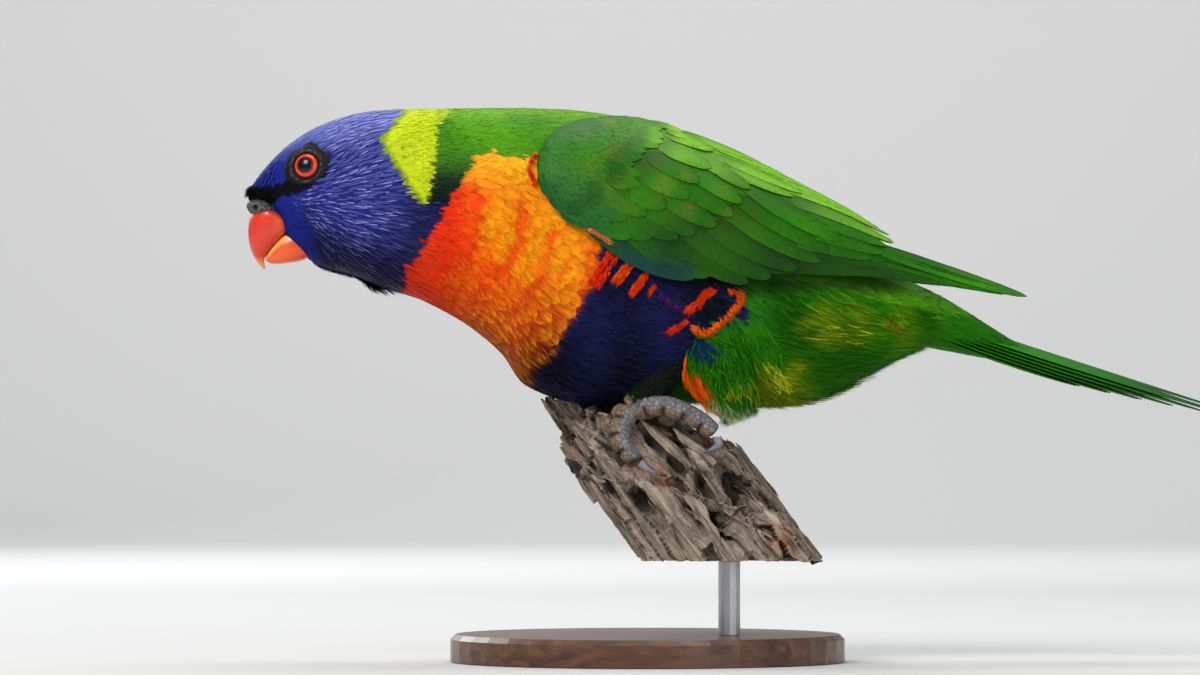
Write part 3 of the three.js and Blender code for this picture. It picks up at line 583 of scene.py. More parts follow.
barbBase = {"stray": 5, "rise": 1, "camber": 0.0, "half": 0.05, "bright": 1.0, "glow": (0.0, 0.0, 0.0),
            "uneven": 0.22}
barbFaces = np.array([[0, 1, 2, 2], [0, 3, 1, 1], [1, 3, 2, 2], [2, 3, 0, 0]])


def addBarbs(into, laid, changes, chance):
    # loose barbs along the outer part of each vane: long thin closed spikes, flat at the root
    style = {**barbBase, **changes}
    spread = (len(laid["width"]), style["number"])
    t = chance.uniform(style["from"], 0.98, spread)
    ring = np.clip(np.searchsorted(laid["t"], t) - 1, 0, len(laid["t"]) - 2)
    share = (t - laid["t"][ring]) / (laid["t"][ring + 1] - laid["t"][ring])
    rows = np.arange(len(t))[:, None]

    def at(key):  # at the roots of the barbs
        values = laid[key]
        return mix(values[rows, ring], values[rows, ring + 1], share if values.ndim == 2 else share[..., None])

    centre, ahead, side, out, width, tone = map(at, ("centre", "ahead", "side", "out", "width", "tints"))
    u = chance.uniform(-1, 1, spread)
    u = np.sign(u) * np.abs(u) ** 0.6 * 0.95
    turn = np.radians(style["spread"]) * u + np.radians(style["stray"]) * chance.standard_normal(spread)
    rise = np.radians(style["rise"]) * chance.standard_normal(spread)
    way = ahead * np.cos(turn)[..., None] + side * np.sin(turn)[..., None]
    way = way * np.cos(rise)[..., None] + out * np.sin(rise)[..., None]
    aside = unit(np.cross(way, out))
    above = np.cross(aside, way)
    root = centre + side * (u * width)[..., None] - out * (np.abs(u) * width * style["camber"])[..., None]
    long = chance.uniform(*style["long"], spread)[..., None]
    half = style["half"]
    corners = np.stack([
        root - aside * half, root + aside * half, root + above * half * 0.8, root + way * long], 2)
    quads = (barbFaces + np.arange(t.size)[:, None, None] * 4).reshape(-1, 4)
    uneven = chance.uniform(1 - style["uneven"], 1 + style["uneven"], (*spread, 1))
    tone = np.clip((tone * style["bright"] + style["glow"]) * uneven, 0, 1)
    seed = chance.random((*spread, 1)) * 50
    vane = np.stack([seed * np.ones(4), seed + [0, 0, 0, 1] * long], -1)
    bake = laid["start"][:, None, None] + vaneBase["patch"] * np.repeat(
        np.stack([u * 0.5, t - 0.5], -1)[:, :, None], 4, 2)
    into.append(corners, turnedOut(corners, quads), np.repeat(tone[:, :, None], 4, 2), vane, bake,
                np.zeros(corners.shape[:3], bool))


# The markings, as outlines on the side view in the bird's frame, shared by the skin and the coat

headRear = [(-57.6, 93.2), (-60.6, 89.4), (-64.1, 85), (-61.5, 80.3), (-57.6, 74.4), (-54.1, 69.1),
            (-51.2, 65.4)]
breastRear = [(0, 56), (-0.2, 50), (-2.2, 42.4), (-6.5, 34.1), (-14.7, 22.8), (-18.5, 18), (-26, 6)]
markings = {
    "lores": [(-110, 72.5), (-102.4, 71.2), (-97.6, 72.4), (-95.3, 71.8), (-92.4, 72.9), (-90.8, 74.2),
              (-81.8, 72.6), (-84.7, 71), (-88.2, 69.4), (-92.9, 68.5), (-95.3, 66.8), (-99.4, 64.3),
              (-110, 62)],
    "billRoot": [(-112, 69), (-103.4, 69.2), (-98.6, 68.2), (-94.6, 66.8), (-93.2, 64.6), (-92, 62),
                 (-91.4, 59.6), (-91, 57.6), (-87.1, 50.8), (-87, 44), (-112, 44)],
    "collar": [(-57.6, 110), *headRear, (-49.8, 67.6), (-48.6, 74.4), (-47.7, 82.1), (-47.2, 89.4),
               (-43.8, 93.5), (-43.8, 110)],
    "head": [(-130, 30), (-130, 120), (-57.6, 120), *headRear, (-47.5, 66.5), (-45.5, 66.5), (-47, 60.9),
             (-49.8, 55), (-54.5, 48.8), (-56.8, 43.5), (-57.5, 37), (-60, 30)],
    "breast": [(-39.2, 74.8), (-35, 79.4), (-30.9, 81.5), (-25.6, 81.2), (-22, 79.4), (-17, 78), (-10, 66),
               *breastRear, (-70, 20), (-57.5, 37), (-56.8, 43.5), (-54.5, 48.8), (-49.8, 55), (-46.4, 60.9),
               (-43.4, 67)],
    "belly": [*breastRear, (-26, -10), (18, -10), (20.5, 17.5), (27, 18.5), (33, 21), (36.5, 25.5),
              (42.5, 28.5),
              (44, 33), (41, 38), (41.5, 46), (38, 56)],
}


def inside(outline, x, z):
    polygon = np.array(markings[outline], float)
    found = np.zeros(x.shape, bool)
    for (xa, za), (xb, zb) in zip(polygon, np.roll(polygon, -1, 0)):
        crosses = (za > z) != (zb > z)
        with np.errstate(divide="ignore", invalid="ignore"):
            found ^= crosses & (x < (xb - xa) * (z - za) / (zb - za) + xa)
    return found


def awayFromLine(x, z, line):
    line, spots = np.array(line, float), np.stack([x, z], -1)
    found = []
    for start, end in zip(line, line[1:]):
        share = np.clip((spots - start) @ (end - start) / ((end - start) ** 2).sum(), 0, 1)
        found.append(np.linalg.norm(spots - start - share[:, None] * (end - start), axis=-1))
    return np.min(found, axis=0)


breastEdges = {  # heights, and how far along the body the edge is there
    "front": ([36, 43.5, 48.8, 55, 60.9, 67.6, 74.4, 80], [-57, -56.5, -54, -49.5, -46.5, -45, -40.6, -35]),
    "rear": ([14, 22.8, 34, 42, 50, 56], [-18, -14.7, -6.5, -2.2, -0.2, 0]),
}
breastBands = [  # lines in x and z, half width and strength of the red along them
    ([(-36.5, 72), (-35.4, 64), (-37, 56), (-40, 50)], 1.5, 0.75),
    ([(-23, 67), (-22.6, 60), (-24.5, 52), (-29, 45)], 1.5, 0.8),
    ([(-13.6, 57), (-15.5, 50), (-19, 42), (-25, 36)], 1.2, 0.75),
    ([(-41, 60), (-44, 50), (-48, 44)], 2.0, 0.7),
    ([(-31, 47), (-35, 40), (-38, 36)], 2.4, 0.6), ([(-9, 50), (-11.5, 43), (-17, 35), (-20, 31)], 0.9, 0.6),
    ([(-29, 60), (-31, 52), (-35, 46)], 0.9, 0.45), ([(-22, 40), (-27, 33), (-31, 29)], 1.3, 0.5),
]


def patchy(points, size, seed):  # smooth patches from -1 to 1
    ways = np.random.default_rng(seed).standard_normal((5, 3))
    phases = np.random.default_rng(seed + 1).uniform(0, 6.28, 5)
    return np.sin(points @ (unit(ways).T * 6.28 / size) + phases).mean(-1) * 1.6


tones = {
    # crown is lighter than violet: partly its own lighter blue, partly a painted highlight of the light from
    # above
    "loresDark": rgb(20, 19, 22), "violet": rgb(44, 50, 138), "crown": rgb(96, 105, 188),
    "lilac": rgb(152, 154, 222),
    "forehead": rgb(30, 46, 150), "navy": rgb(27, 28, 68), "night": rgb(12, 13, 36), "lime": rgb(206, 222, 34),
    "limeDeep": rgb(182, 206, 22), "green": rgb(84, 152, 20), "greenDeep": rgb(48, 112, 10),
    "greenDark": rgb(22, 46, 22), "yellowGreen": rgb(140, 190, 44), "red": rgb(240, 50, 18),
    "orange": rgb(255, 108, 12), "amber": rgb(255, 160, 22), "gold": rgb(255, 194, 30),
    "rust": rgb(176, 52, 12),
    "purple": rgb(78, 32, 92), "wine": rgb(104, 18, 26), "blue": rgb(28, 31, 74), "blueDark": rgb(12, 13, 28),
    "teal": rgb(20, 70, 104), "vent": rgb(42, 118, 4), "ventDark": rgb(22, 78, 2), "straw": rgb(190, 200, 50),
    "ventYellow": rgb(126, 142, 12), "salmon": rgb(236, 128, 92), "wisp": rgb(186, 200, 150),
    "flame": rgb(244, 66, 18), "ochre": rgb(140, 92, 20),
}


def plumageTones(points, home):
    # The colours of the vane, its tip and its shaft, and how much the shaft shows. home is where each point's
    # feather belongs, which settles its marking; inside a marking the shades run on from feather to feather.
    x, y, z = points.T
    hx, hz = home[:, 0], home[:, 2]
    low = points * [1, 0.6, 1]
    shade, fine = patchy(low, 22, 3)[:, None], patchy(low, 7, 5)[:, None]

    def step(value, start, end):
        return smoothStep(value, start, end)[:, None]

    # green back, mantle and rump
    body = mix(tones["green"], tones["greenDeep"], np.clip(0.35 + 0.5 * shade, 0, 1))
    body = mix(body, tones["yellowGreen"], 0.45 * step(z, 84, 94) * step(-np.abs(y), -14, -6))
    body = mix(body, tones["greenDark"], step(-z, -84, -72) * step(-x, 32, 40))
    body = mix(body, tones["night"], step(-z, -76, -64) * step(-x, 34, 42) * 0.8)
    tip, shaft, shaftShare = body * 1.12, body * 1.1, np.full(len(points), 0.25)

    def paint(mask, vane, end, middle, share):
        nonlocal body, tip, shaft, shaftShare
        m = mask[:, None]
        body, tip, shaft = np.where(m, vane, body), np.where(m, end, tip), np.where(m, middle, shaft)
        shaftShare = np.where(mask, share, shaftShare)

    # vent, flanks, thighs and under the tail
    vent = (hx > ventFront(hz)) & (hz < np.interp(hx, [40, 100], [47, 34]))
    yellow = np.clip(
        step(-np.hypot((x - 69) / 1.6, z - 31), -10, -3) * 0.7
        + step(-np.hypot((x - 57) / 1.1, (z - 14) / 1.4), -7, -2)
        + step(-np.hypot(x - 90, z - 30), -12, -4) * 0.35, 0, 1) * np.clip(0.6 + fine, 0, 1)
    ventTone = mix(tones["vent"], tones["ventDark"], np.clip(0.4 + 0.6 * shade, 0, 1))
    ventTone = mix(ventTone, tones["ventYellow"], yellow)
    paint(vent, ventTone, ventTone * 1.3, mix(ventTone, tones["straw"], 0.12), 0.3)
    # dark blue belly
    bellyTone = mix(tones["blue"], tones["blueDark"], np.clip(0.5 + 0.6 * shade - (z[:, None] - 26) / 60, 0, 1))
    paint(inside("belly", hx, hz), bellyTone, mix(bellyTone, tones["blue"], 0.5), bellyTone, 0.0)
    # breast: red in front and low down, amber in the middle, red and purple tips behind
    inFrom = (x - np.interp(z, *breastEdges["front"]))[:, None]
    upTo = np.interp(z, *breastEdges["rear"]) - x
    reddens = mix(25, 12, step(z, 48, 64))
    warm = np.clip(smoothStep(inFrom / reddens, 0.06, 1) + 0.08 * fine + 0.12 * shade, 0, 1)
    glow = mix(tones["red"], tones["orange"], warm)
    heart = smoothStep(inFrom, 6, 18) * step(z + 0.9 * (x + 35), 49, 63)
    glow = mix(glow, tones["amber"], np.clip(heart * (0.85 + 0.08 * fine + 0.15 * shade), 0, 1))
    bands = np.max([strength * np.exp(-((awayFromLine(x, z, line) + 0.5 * fine[:, 0]) / wide) ** 4)
                    for line, wide, strength in breastBands], axis=0)
    glow = mix(glow, tones["red"], np.clip(bands[:, None], 0, 1))
    glow = mix(glow, tones["gold"], step(z, 69, 77) * 0.8)
    # rust low on the breast: partly its own darker red, partly painted shade of the underside
    glow = mix(glow, tones["rust"], np.clip(step(-z, -46, -24) * (0.3 + 0.45 * fine + 0.3 * shade), 0, 0.8))
    edge = step(-upTo, -7, -1) * step(-z, -60, -52)
    glow = mix(glow, tones["red"], edge * 0.75)
    rearLow = step(-z, -50, -30) * smoothStep(inFrom, 10, 22)
    base = mix(glow * 0.94, tones["red"], 0.14 + 0.3 * rearLow)
    base = mix(base, tones["wine"], np.clip(edge * 0.3 + rearLow * 0.4, 0, 0.8))
    # painted shade: the breast is darkened low down on its underside, and a little below its middle where it is
    # not warm
    under = (1 - 0.5 * step(-z, -34, -20)) * (1 - 0.2 * step(-z, -58, -48) * (1 - warm))
    base, glow = base * under, glow * under
    ends = mix(glow * 1.03, tones["gold"], 0.03 + 0.08 * heart + 0.36 * rearLow)
    paint(inside("breast", hx, hz), base, ends, glow, 0.2)
    # lime collar, darker along its front edge
    lime = mix(tones["lime"], tones["limeDeep"], np.clip(0.3 + 0.4 * fine + 0.3 * shade, 0, 1))
    lime = mix(lime, tones["green"], 0.35 * step(x, -50, -45))
    rim = step(-awayFromLine(x, z, headRear), -1.5, -0.2)
    lime = mix(lime, mix(tones["greenDark"], tones["greenDeep"], step(z, 74, 84)), 0.6 * rim)
    paint(inside("collar", hx, hz), lime, lime * 1.05, lime * 1.03, 0.3)
    # violet head with pale shafts, darker on the throat
    throat = step(-z - 0.35 * (x + 70), -66, -46)
    dark = np.clip(throat + step(x, -68, -53) * step(-z, -78, -64) + 0.2 * fine, 0, 1)
    # the crown is painted lighter: partly its own lighter blue, partly a painted highlight of the light from
    # above
    crown = step(z - 0.2 * (x + 100), 76, 84)
    headTone = mix(mix(tones["violet"], tones["crown"], crown), tones["navy"], dark * 0.85)
    headTone = mix(headTone, tones["night"], np.clip(throat * 1.4 - 0.55, 0, 1) * 0.8)
    forehead = smoothStep(-x - 0.3 * (z - 72), 86, 93)
    headTone = mix(headTone, tones["forehead"], forehead[:, None] * 0.7)
    plain = np.maximum(forehead, smoothStep(-x, 77, 85) * smoothStep(z, 77, 81))
    pale = np.clip(1.0 - 0.9 * dark[:, 0] - 0.85 * plain, 0.02, 1)
    paint(inside("head", hx, hz), headTone * 0.84, headTone * 0.94, mix(headTone, tones["lilac"], 0.95),
          pale * (1 + 0.5 * crown[:, 0]))
    lores = inside("lores", hx, hz) & (np.abs(y) < 14)
    dusk = tones["loresDark"]
    paint(lores, dusk, dusk * 1.3, dusk, 0.0)
    # shade under the folded wing
    sheltered = smoothStep(z - wingBeside(x)[:, 5], -5.5, -1.5) * smoothStep(x, 2, 12)
    light = 1 - 0.7 * (sheltered * smoothStep(-x, -94, -84) * smoothStep(np.abs(y), 4, 8))[:, None]
    return body * light, tip * light, shaft * light, shaftShare


def ventFront(z):  # where the green of the vent begins behind the dark belly
    return np.interp(z, [0, 18, 24, 29, 34, 38, 60], [20, 22, 34, 42, 43, 41, 36])


def bodyPaint(centre, t, chance, spread=0.045):  # the colours at the corners of vanes on the body
    count, rings = centre.shape[:2]
    shown = centre[:, int(rings * 0.65)]
    home = mix(centre, shown[:, None], 0.3) + (chance.standard_normal((count, 3)) * [0.42, 0, 0.42])[:, None]
    body, tip, shaft, shaftShare = plumageTones(centre.reshape(-1, 3), home.reshape(-1, 3))
    body, tip, shaft = (tone.reshape(count, rings, 1, 3) for tone in (body, tip, shaft))
    shaftShare = shaftShare.reshape(count, rings)
    toTip = smoothStep(t, 0.68, 1)[None, :, None, None]
    toRoot = smoothStep(-t, -0.4, -0.1)[None, :, None, None]
    tints = mix(body, tip, toTip)
    onShaft = np.array([0.0, 1.0, 0.0, 0.0])[None, None, :, None]
    tints = mix(tints, shaft, 0.25 * shaftShare[..., None, None] * onShaft) * (1 - 0.25 * toRoot)
    light = 1 + spread * chance.standard_normal((count, 1, 1, 1))
    tints = np.clip(tints * np.clip(light, 0.6, 1.5), 0, 1) * np.ones((1, 1, 4, 1))
    often = 0.34 + 0.4 * smoothStep(shown[:, 2] - 0.2 * (shown[:, 0] + 100), 76, 84)
    streaked = inside("head", shown[:, 0], shown[:, 2]) * np.where(chance.random(count) < often, 1.0, 0.05)
    pale = shaftShare * streaked[:, None] * smoothStep(t, 0.3, 0.6) * smoothStep(-t, -1.0, -0.85)
    return np.concatenate([tints, np.broadcast_to(pale[..., None, None], tints.shape[:3] + (1,))], -1)


# Finish of the feathers: the tint of each vane, broken up along its barbs

def feathered(name, rough=0.5, streak=0.45, relief=0.3, gloss=0.08):
    finish = Finish(name)
    vane = finish.map("vane")
    across, along = vane.part(0), vane.part(1)
    barbs = finish.vector((along - abs(across) * 1.1) * 2.6, across * 0.35, 0.0)
    strands = finish.noise(barbs, 1.0, 3.0, 0.6)
    blotches = finish.noise(finish.vector(across * 0.3, along * 0.3, 0.0), 1.0, 1.0)
    light = (1 - streak) + strands.between(0.3, 0.7) * (streak * 1.3) + blotches * (streak * 0.5)
    shaft = finish.attribute("tint", 1) * (1.0 - abs(across).between(0.05, 0.18))
    finish.set(
        BaseColor=finish.blend(shaft, finish.shade(finish.attribute("tint"), light), tones["lilac"]),
        Roughness=strands * 0.15 + (rough - 0.08),
        Normal=finish.bump(strands, relief, 0.0003),
        SpecularIORLevel=gloss)
    return finish


# The body's coat, region by region

coatStyle = {
    "head": {"rings": 4, "outline": "lance", "sunk": -0.2, "lift": 0.08, "loose": 0.4, "camber": 0.0,
             "ridge": 0.01, "thick": 0.04, "ragged": 0.15, "unrest": 0.8, "least": 0.08},
    "fine": {"rings": 4, "outline": "soft", "sunk": -0.09, "lift": 0.05, "loose": 0.25, "camber": 0.0,
             "ridge": 0.01, "thick": 0.03, "ragged": 0.12, "unrest": 0.5, "least": 0.08},
    "broad": {"rings": 7, "outline": "flat", "sunk": -0.14, "lift": 0.05, "loose": 0.08, "camber": 0.0,
              "ridge": 0.01, "thick": 0.03, "ragged": 0.12, "unrest": 0.2, "least": 0.12},
    "down": {"rings": 4, "outline": "lance", "sunk": -0.6, "lift": 0.3, "loose": 0.7, "camber": 0.04,
             "ridge": 0.03, "thick": 0.07, "ragged": 0.3, "unrest": 8, "least": 0.08, "rise": 1.2},
}
greenBarbs = {"number": 15, "from": 0.2, "spread": 24, "stray": 10, "rise": 6, "camber": 0.04,
              "long": (2.0, 6.0),
              "half": 0.055, "bright": 1.12, "glow": (0.012, 0.04, 0.0)}
coatRegions = [  # stations from and to, spacing, length and half width in mm, seed and barbs
    {"name": "head", "style": "head", "from": 0.05, "to": 9.6, "spacing": (0.78, 1.25), "long": (1.7, 5.4),
     "half": (0.36, 0.66), "seed": 11, "slot": "head_plumage"},
    {"name": "mantle", "style": "fine", "from": 6.8, "to": 20.0, "spacing": (0.88, 1.55), "long": (4.0, 8.0),
     "half": (0.62, 1.35), "seed": 12, "slot": "nape_plumage", "grows": (-50, -30),
     "barbs": {"number": 6, "from": 0.4, "spread": 20, "long": (0.8, 2.4), "bright": 1.03, "uneven": 0.1}},
    {"name": "breast", "style": "broad", "from": 7.6, "to": 16.0, "rows": (3.3, 2.3), "long": (9.5, 11.5),
     "half": (2.3, 2.6), "seed": 13, "slot": "breast_plumage", "turn": 17,
     "barbs": {"number": 54, "from": 0.55, "spread": 9, "stray": 4, "long": (1.2, 3.2), "bright": 1.04,
               "uneven": 0.1}},
    {"name": "belly", "style": "down", "from": 10.0, "to": 17.6, "spacing": (1.45, 1.45), "long": (7.0, 10.0),
     "half": (0.75, 0.95), "seed": 14, "slot": "belly_plumage", "turn": 10,
     "barbs": {"number": 10, "from": 0.35, "spread": 24, "stray": 8, "rise": 5, "camber": 0.04,
               "long": (1.4, 4.0),
               "half": 0.06, "bright": 1.5, "glow": (0.012, 0.012, 0.026)}},
    {"name": "vent", "style": "down", "from": 14.0, "to": 20.0, "spacing": (1.25, 1.4), "long": (8.5, 12.0),
     "half": (0.5, 0.7), "seed": 15, "slot": "rump_plumage", "turn": 14, "barbs": greenBarbs},
]


def regionOf(points):  # which coat piece a root belongs to
    x, _, z = points.T
    head = inside("head", x, z) | inside("lores", x, z)
    breast = inside("breast", x, z) & ~head
    belly = inside("belly", x, z) & ~head & ~breast
    vent = (x > ventFront(z)) & (z < np.interp(x, [40, 100], [50, 36])) & ~belly & ~breast
    names = np.full(len(points), "mantle")
    for mask, name in ((vent, "vent"), (belly, "belly"), (breast, "breast"), (head, "head")):
        names[mask] = name
    return names


def underWing(points):  # well inside the outline of the folded wing, where nothing of the body shows
    x, y, z = points.T
    line = wingBeside(x)
    return (x > -12) & (x < 95) & (z < line[:, 2] - 6) & (z > line[:, 5] + 5) & (np.abs(y) > 9)


def evenly(spacing):
    return lambda points: np.full(len(points), spacing)


def anywhere(points, place):
    return np.ones(len(points), bool)


def coatSpacing(region):
    fine, coarse = region["spacing"]

    def at(points):
        return mix(fine, coarse, smoothStep(points[:, 0], *region.get("grows", (-100, -56))))

    return at


def bareReach(x, z):  # how far the bare skin round the eye goes, this way from it, and how far this place is
    parts = eyeParts
    aheadBy, aboveBy = x - parts["centre"][0], z - parts["centre"][2]
    turn = np.arctan2(aboveBy, aheadBy)
    reach = parts["bare"] + parts["bareWide"] * np.abs(np.cos(turn))
    for towards, more, broad in parts["corners"]:
        reach = reach + more * np.exp(-(((turn - towards) / broad) ** 2))
    return reach, np.hypot(aheadBy, aboveBy)


headLie = {  # the feathers fan out from a point behind the bill, except above the crown line, in x and z
    "from": (-97.5, 66.5), "crown": ([-104, -92, -79, -62, -50], [68, 82.5, 80.5, 91, 96])}


def lieOf(points, place):  # the way the feathers on the head point
    x, y, z = points.T
    _, along, _, _ = trunk.frame(place)
    fan = np.stack([x - headLie["from"][0], np.zeros_like(x), z - headLie["from"][1]], -1)
    share = 1 - smoothStep(z - np.interp(x, *headLie["crown"]), -3, 3)
    share = share * (1 - 0.75 * smoothStep(x, -66, -48)) * smoothStep(np.abs(y), 2, 8)
    return unit(mix(unit(along), unit(fan + [2.0, 0, 0]), share[:, None]))


bareMargin = {"root": 0.9, "middle": 0.7, "tip": 0.4}  # how far feathers may reach over the bare skin's edge


def coat(region, feathers):
    def bareAt(points, margin):
        reach, away = bareReach(points[:, 0], points[:, 2])
        return (away < reach - margin) & (np.abs(points[:, 1]) > 5)

    def keep(points, place):
        bare = bareAt(points, bareMargin["root"]) | inside("billRoot", points[:, 0], points[:, 2])
        return (regionOf(points) == region["name"]) & ~underWing(points) & ~bare

    low, high = (region["from"], -math.pi), (region["to"], math.pi)
    if "rows" in region:
        root = setRows(trunk, low, high, region["rows"], keep, region["seed"])
    else:
        root = throwDarts(trunk, low, high, coatSpacing(region), keep, region["seed"])
    chance = np.random.default_rng(region["seed"] + 100)
    point, along, _, _ = trunk.frame(root)
    onHead = region["name"] == "head"
    growth = smoothStep(point[:, 0], *((-101, -60) if onHead else region.get("grows", (-60, -10))))
    long = mix(*region["long"], growth) * (1 + 0.12 * chance.standard_normal(len(root)))
    half = mix(*region["half"], growth) * (1 + 0.1 * chance.standard_normal(len(root)))
    way = lieOf(point, root) if onHead else unit(along)
    turn = np.radians(region.get("turn", 0)) * np.sign(root[:, 1])
    turn = turn + np.radians(6) * chance.standard_normal(len(root))
    straight = trunk.step(root, way, long)
    _, along, across, _ = trunk.frame(root)
    ratio = np.linalg.norm(across, axis=-1) / np.linalg.norm(along, axis=-1)
    swung = np.stack([straight[:, 0] * np.cos(turn) - straight[:, 1] * np.sin(turn) * ratio,
                      straight[:, 1] * np.cos(turn) + straight[:, 0] * np.sin(turn) / ratio], -1)
    tip = root + swung
    tip[:, 0] = np.minimum(tip[:, 0], lastStation - 0.05)
    clear = ~(bareAt(trunkPoint(tip), bareMargin["tip"])
              | bareAt(trunkPoint((root + tip) / 2), bareMargin["middle"]))
    root, tip, half = root[clear], tip[clear], half[clear]
    for sideName, sign in (("Left", 1), ("Right", -1)):
        mine = np.sign(root[:, 1] + 1e-9) == sign
        vanes = Vanes()
        laid = layVanes(vanes, trunk, root[mine], tip[mine], half[mine], coatStyle[region["style"]],
                        bodyPaint, chance)
        if "barbs" in region:
            addBarbs(vanes, laid, region["barbs"], chance)
        put(vanes.piece(region["name"] + "Feathers" + sideName), feathers)


# A closed body drawn over a grid that is rolled up: placeAt(along, round) gives its corners, round in turns

def loftBody(rings, sides, placeAt, into=None):
    made = into or bmesh.new()
    made.loops.layers.uv.verify()
    grid = bmesh.ops.create_grid(made, x_segments=rings, y_segments=sides, size=0.5, calc_uvs=True)["verts"]
    faces = list({face for vert in grid for face in vert.link_faces})
    share = np.array([vert.co[:2] for vert in grid]) + 0.5
    for vert, corner in zip(grid, np.asarray(placeAt(share[:, 0], share[:, 1] % 1.0)).tolist()):
        vert.co = corner
    bmesh.ops.remove_doubles(made, verts=grid, dist=1e-4)
    faces = [face for face in faces if face.is_valid]
    rim = [edge for edge in {e for face in faces for e in face.edges} if edge.is_boundary]
    caps = bmesh.ops.holes_fill(made, edges=rim, sides=0)["faces"]
    caps = bmesh.ops.poke(made, faces=caps)["faces"]
    for cap in caps:
        cap.smooth = True
    bmesh.ops.recalc_face_normals(made, faces=faces + caps)
    return made


def pieceFrom(made, name, smooth=True):
    mesh = bpy.data.meshes.new(name)
    for vert in made.verts:
        vert.co = Vector(toScene(vert.co))
    made.to_mesh(mesh)
    made.free()
    mesh.polygons.foreach_set("use_smooth", np.full(len(mesh.polygons), smooth))
    return added(name, mesh)


def cornersOf(piece):  # in the bird's frame
    points = np.empty(len(piece.data.vertices) * 3, np.float32)
    piece.data.vertices.foreach_get("co", points)
    return points.reshape(-1, 3).astype(float) * 1000 - birdOrigin


def tinted(piece, colours):
    layer = piece.data.color_attributes.new("tint", "FLOAT_COLOR", "POINT")
    four = np.c_[np.clip(colours, 0, 1), np.zeros(len(colours))]
    layer.data.foreach_set("color", four.astype(np.float32).ravel())
    return piece


def applied(piece):  # the piece with its modifiers made part of its mesh
    mesh = bpy.data.meshes.new_from_object(piece.evaluated_get(bpy.context.evaluated_depsgraph_get()))
    piece.modifiers.clear()
    piece.data = mesh
    return piece


class Tube(Surface):  # round a curved middle line; angle 0 is its upper side, and a quarter turn its left
    def __init__(self, path, radii):
        self.line, self.size = splineThrough(path), splineThrough([[r, 0] for r in radii])
        super().__init__(self.tubePoint, len(path) - 1, True)

    def rings(self, share):
        short = 1e-3
        ahead = unit(self.line(np.clip(share + short, 0, 1)) - self.line(np.clip(share - short, 0, 1)))
        up = unit(np.cross(ahead, [0.0, 1.0, 0.0]))
        return self.line(share), self.size(share)[..., 0], up, -np.cross(up, ahead)

    def tubePoint(self, place, grow=0.0):
        middle, size, up, left = self.rings(place[..., 0] / self.span)
        angle = place[..., 1][..., None]
        return middle + (size + grow)[..., None] * (up * np.cos(angle) + left * np.sin(angle))


# The skin under the feathers, in one piece from the bill to the tail

skinParts = {
    "depth": (0.13, 0.17), "socket": 1.2, "rings": 120, "sides": 96, "tuck": 0.34,
    "gape": ([50, 57.5, 60, 64.5, 66.5], [-86.8, -91.2, -91.6, -92.8, -95.5]),  # z, and the bill's rear in x
    "thighPath": [(29, 16, 30), (34, 16.5, 20), (38.5, 16.5, 11), (41, 16, 4.4)],
    "thighRadii": (6.5, 10.5, 8, 4.4),
    "shinPath": [(27, 15.5, 24), (20.5, 15, 17.2), (14.6, 14.5, 11.6), (10.6, 14.2, 8.4)],
    "shinRadii": (6.4, 5.2, 4.2, 3.4),
}


def thighTube(side):
    return Tube([(x, side * y, z) for x, y, z in skinParts["thighPath"]], skinParts["thighRadii"])


def makeSkin():
    parts = skinParts

    def trunkAt(along, turn):
        place = np.stack([along * lastStation, turn * 2 * math.pi], -1)
        depth = mix(*parts["depth"], smoothStep(place[:, 0], 5, 11))
        point = trunkPoint(place, -depth)
        gape = np.interp(point[:, 2], *parts["gape"])
        point[:, 1] *= 1 - parts["tuck"] * smoothStep(gape - point[:, 0], -0.2, 1.6)
        return point

    skin = pieceFrom(loftBody(parts["rings"], parts["sides"], trunkAt), "birdSkin")
    for side in (-1, 1):
        tube = thighTube(side)
        thigh = pieceFrom(loftBody(30, 32, lambda along, turn: tube.tubePoint(
            np.stack([along * 3, turn * 2 * math.pi], -1), -1.2)), "thighPart")
        union = skin.modifiers.new("join", "BOOLEAN")
        union.operation, union.object = "UNION", thigh
        applied(skin)
        bpy.data.objects.remove(thigh)
    corners = cornersOf(skin)
    faces = [list(face.vertices) for face in skin.data.polygons]
    surface = BVHTree.FromPolygons([Vector(corner) for corner in toScene(corners)], faces)
    body, _, _, _ = plumageTones(corners, corners)
    reach, away = bareReach(corners[:, 0], corners[:, 2])
    bare = (1 - smoothStep(away - reach, -0.9, 0.2)) * (np.abs(corners[:, 1]) > 5)
    tinted(skin, mix(body * 0.95, tones["loresDark"], bare[:, None]))
    corners[:, 1] -= np.sign(corners[:, 1]) * parts["socket"] * bare
    skin.data.vertices.foreach_set("co", toScene(corners).astype(np.float32).ravel())
    skin.data.update()
    finish = grainy("skinUnderFeathers", 1400, (0.85, 0.3), (0.7, 0.2), (0.2, 0.0002), SpecularIORLevel=0.08)
    put(skin, finish, ("head", "neck", "chest", "belly", "rump", "thigh_left", "thigh_right"))
    return surface


# Plumes: loose narrow feathers along a line, for the marks that lie over the coat. Each row says what surface
# it lies on, its slot and its marks: a line in x and z as seen from the left, half the width of the band, the
# slope its feathers point along in degrees, tones of vanes and tips, how many, and what differs from plumeBase.

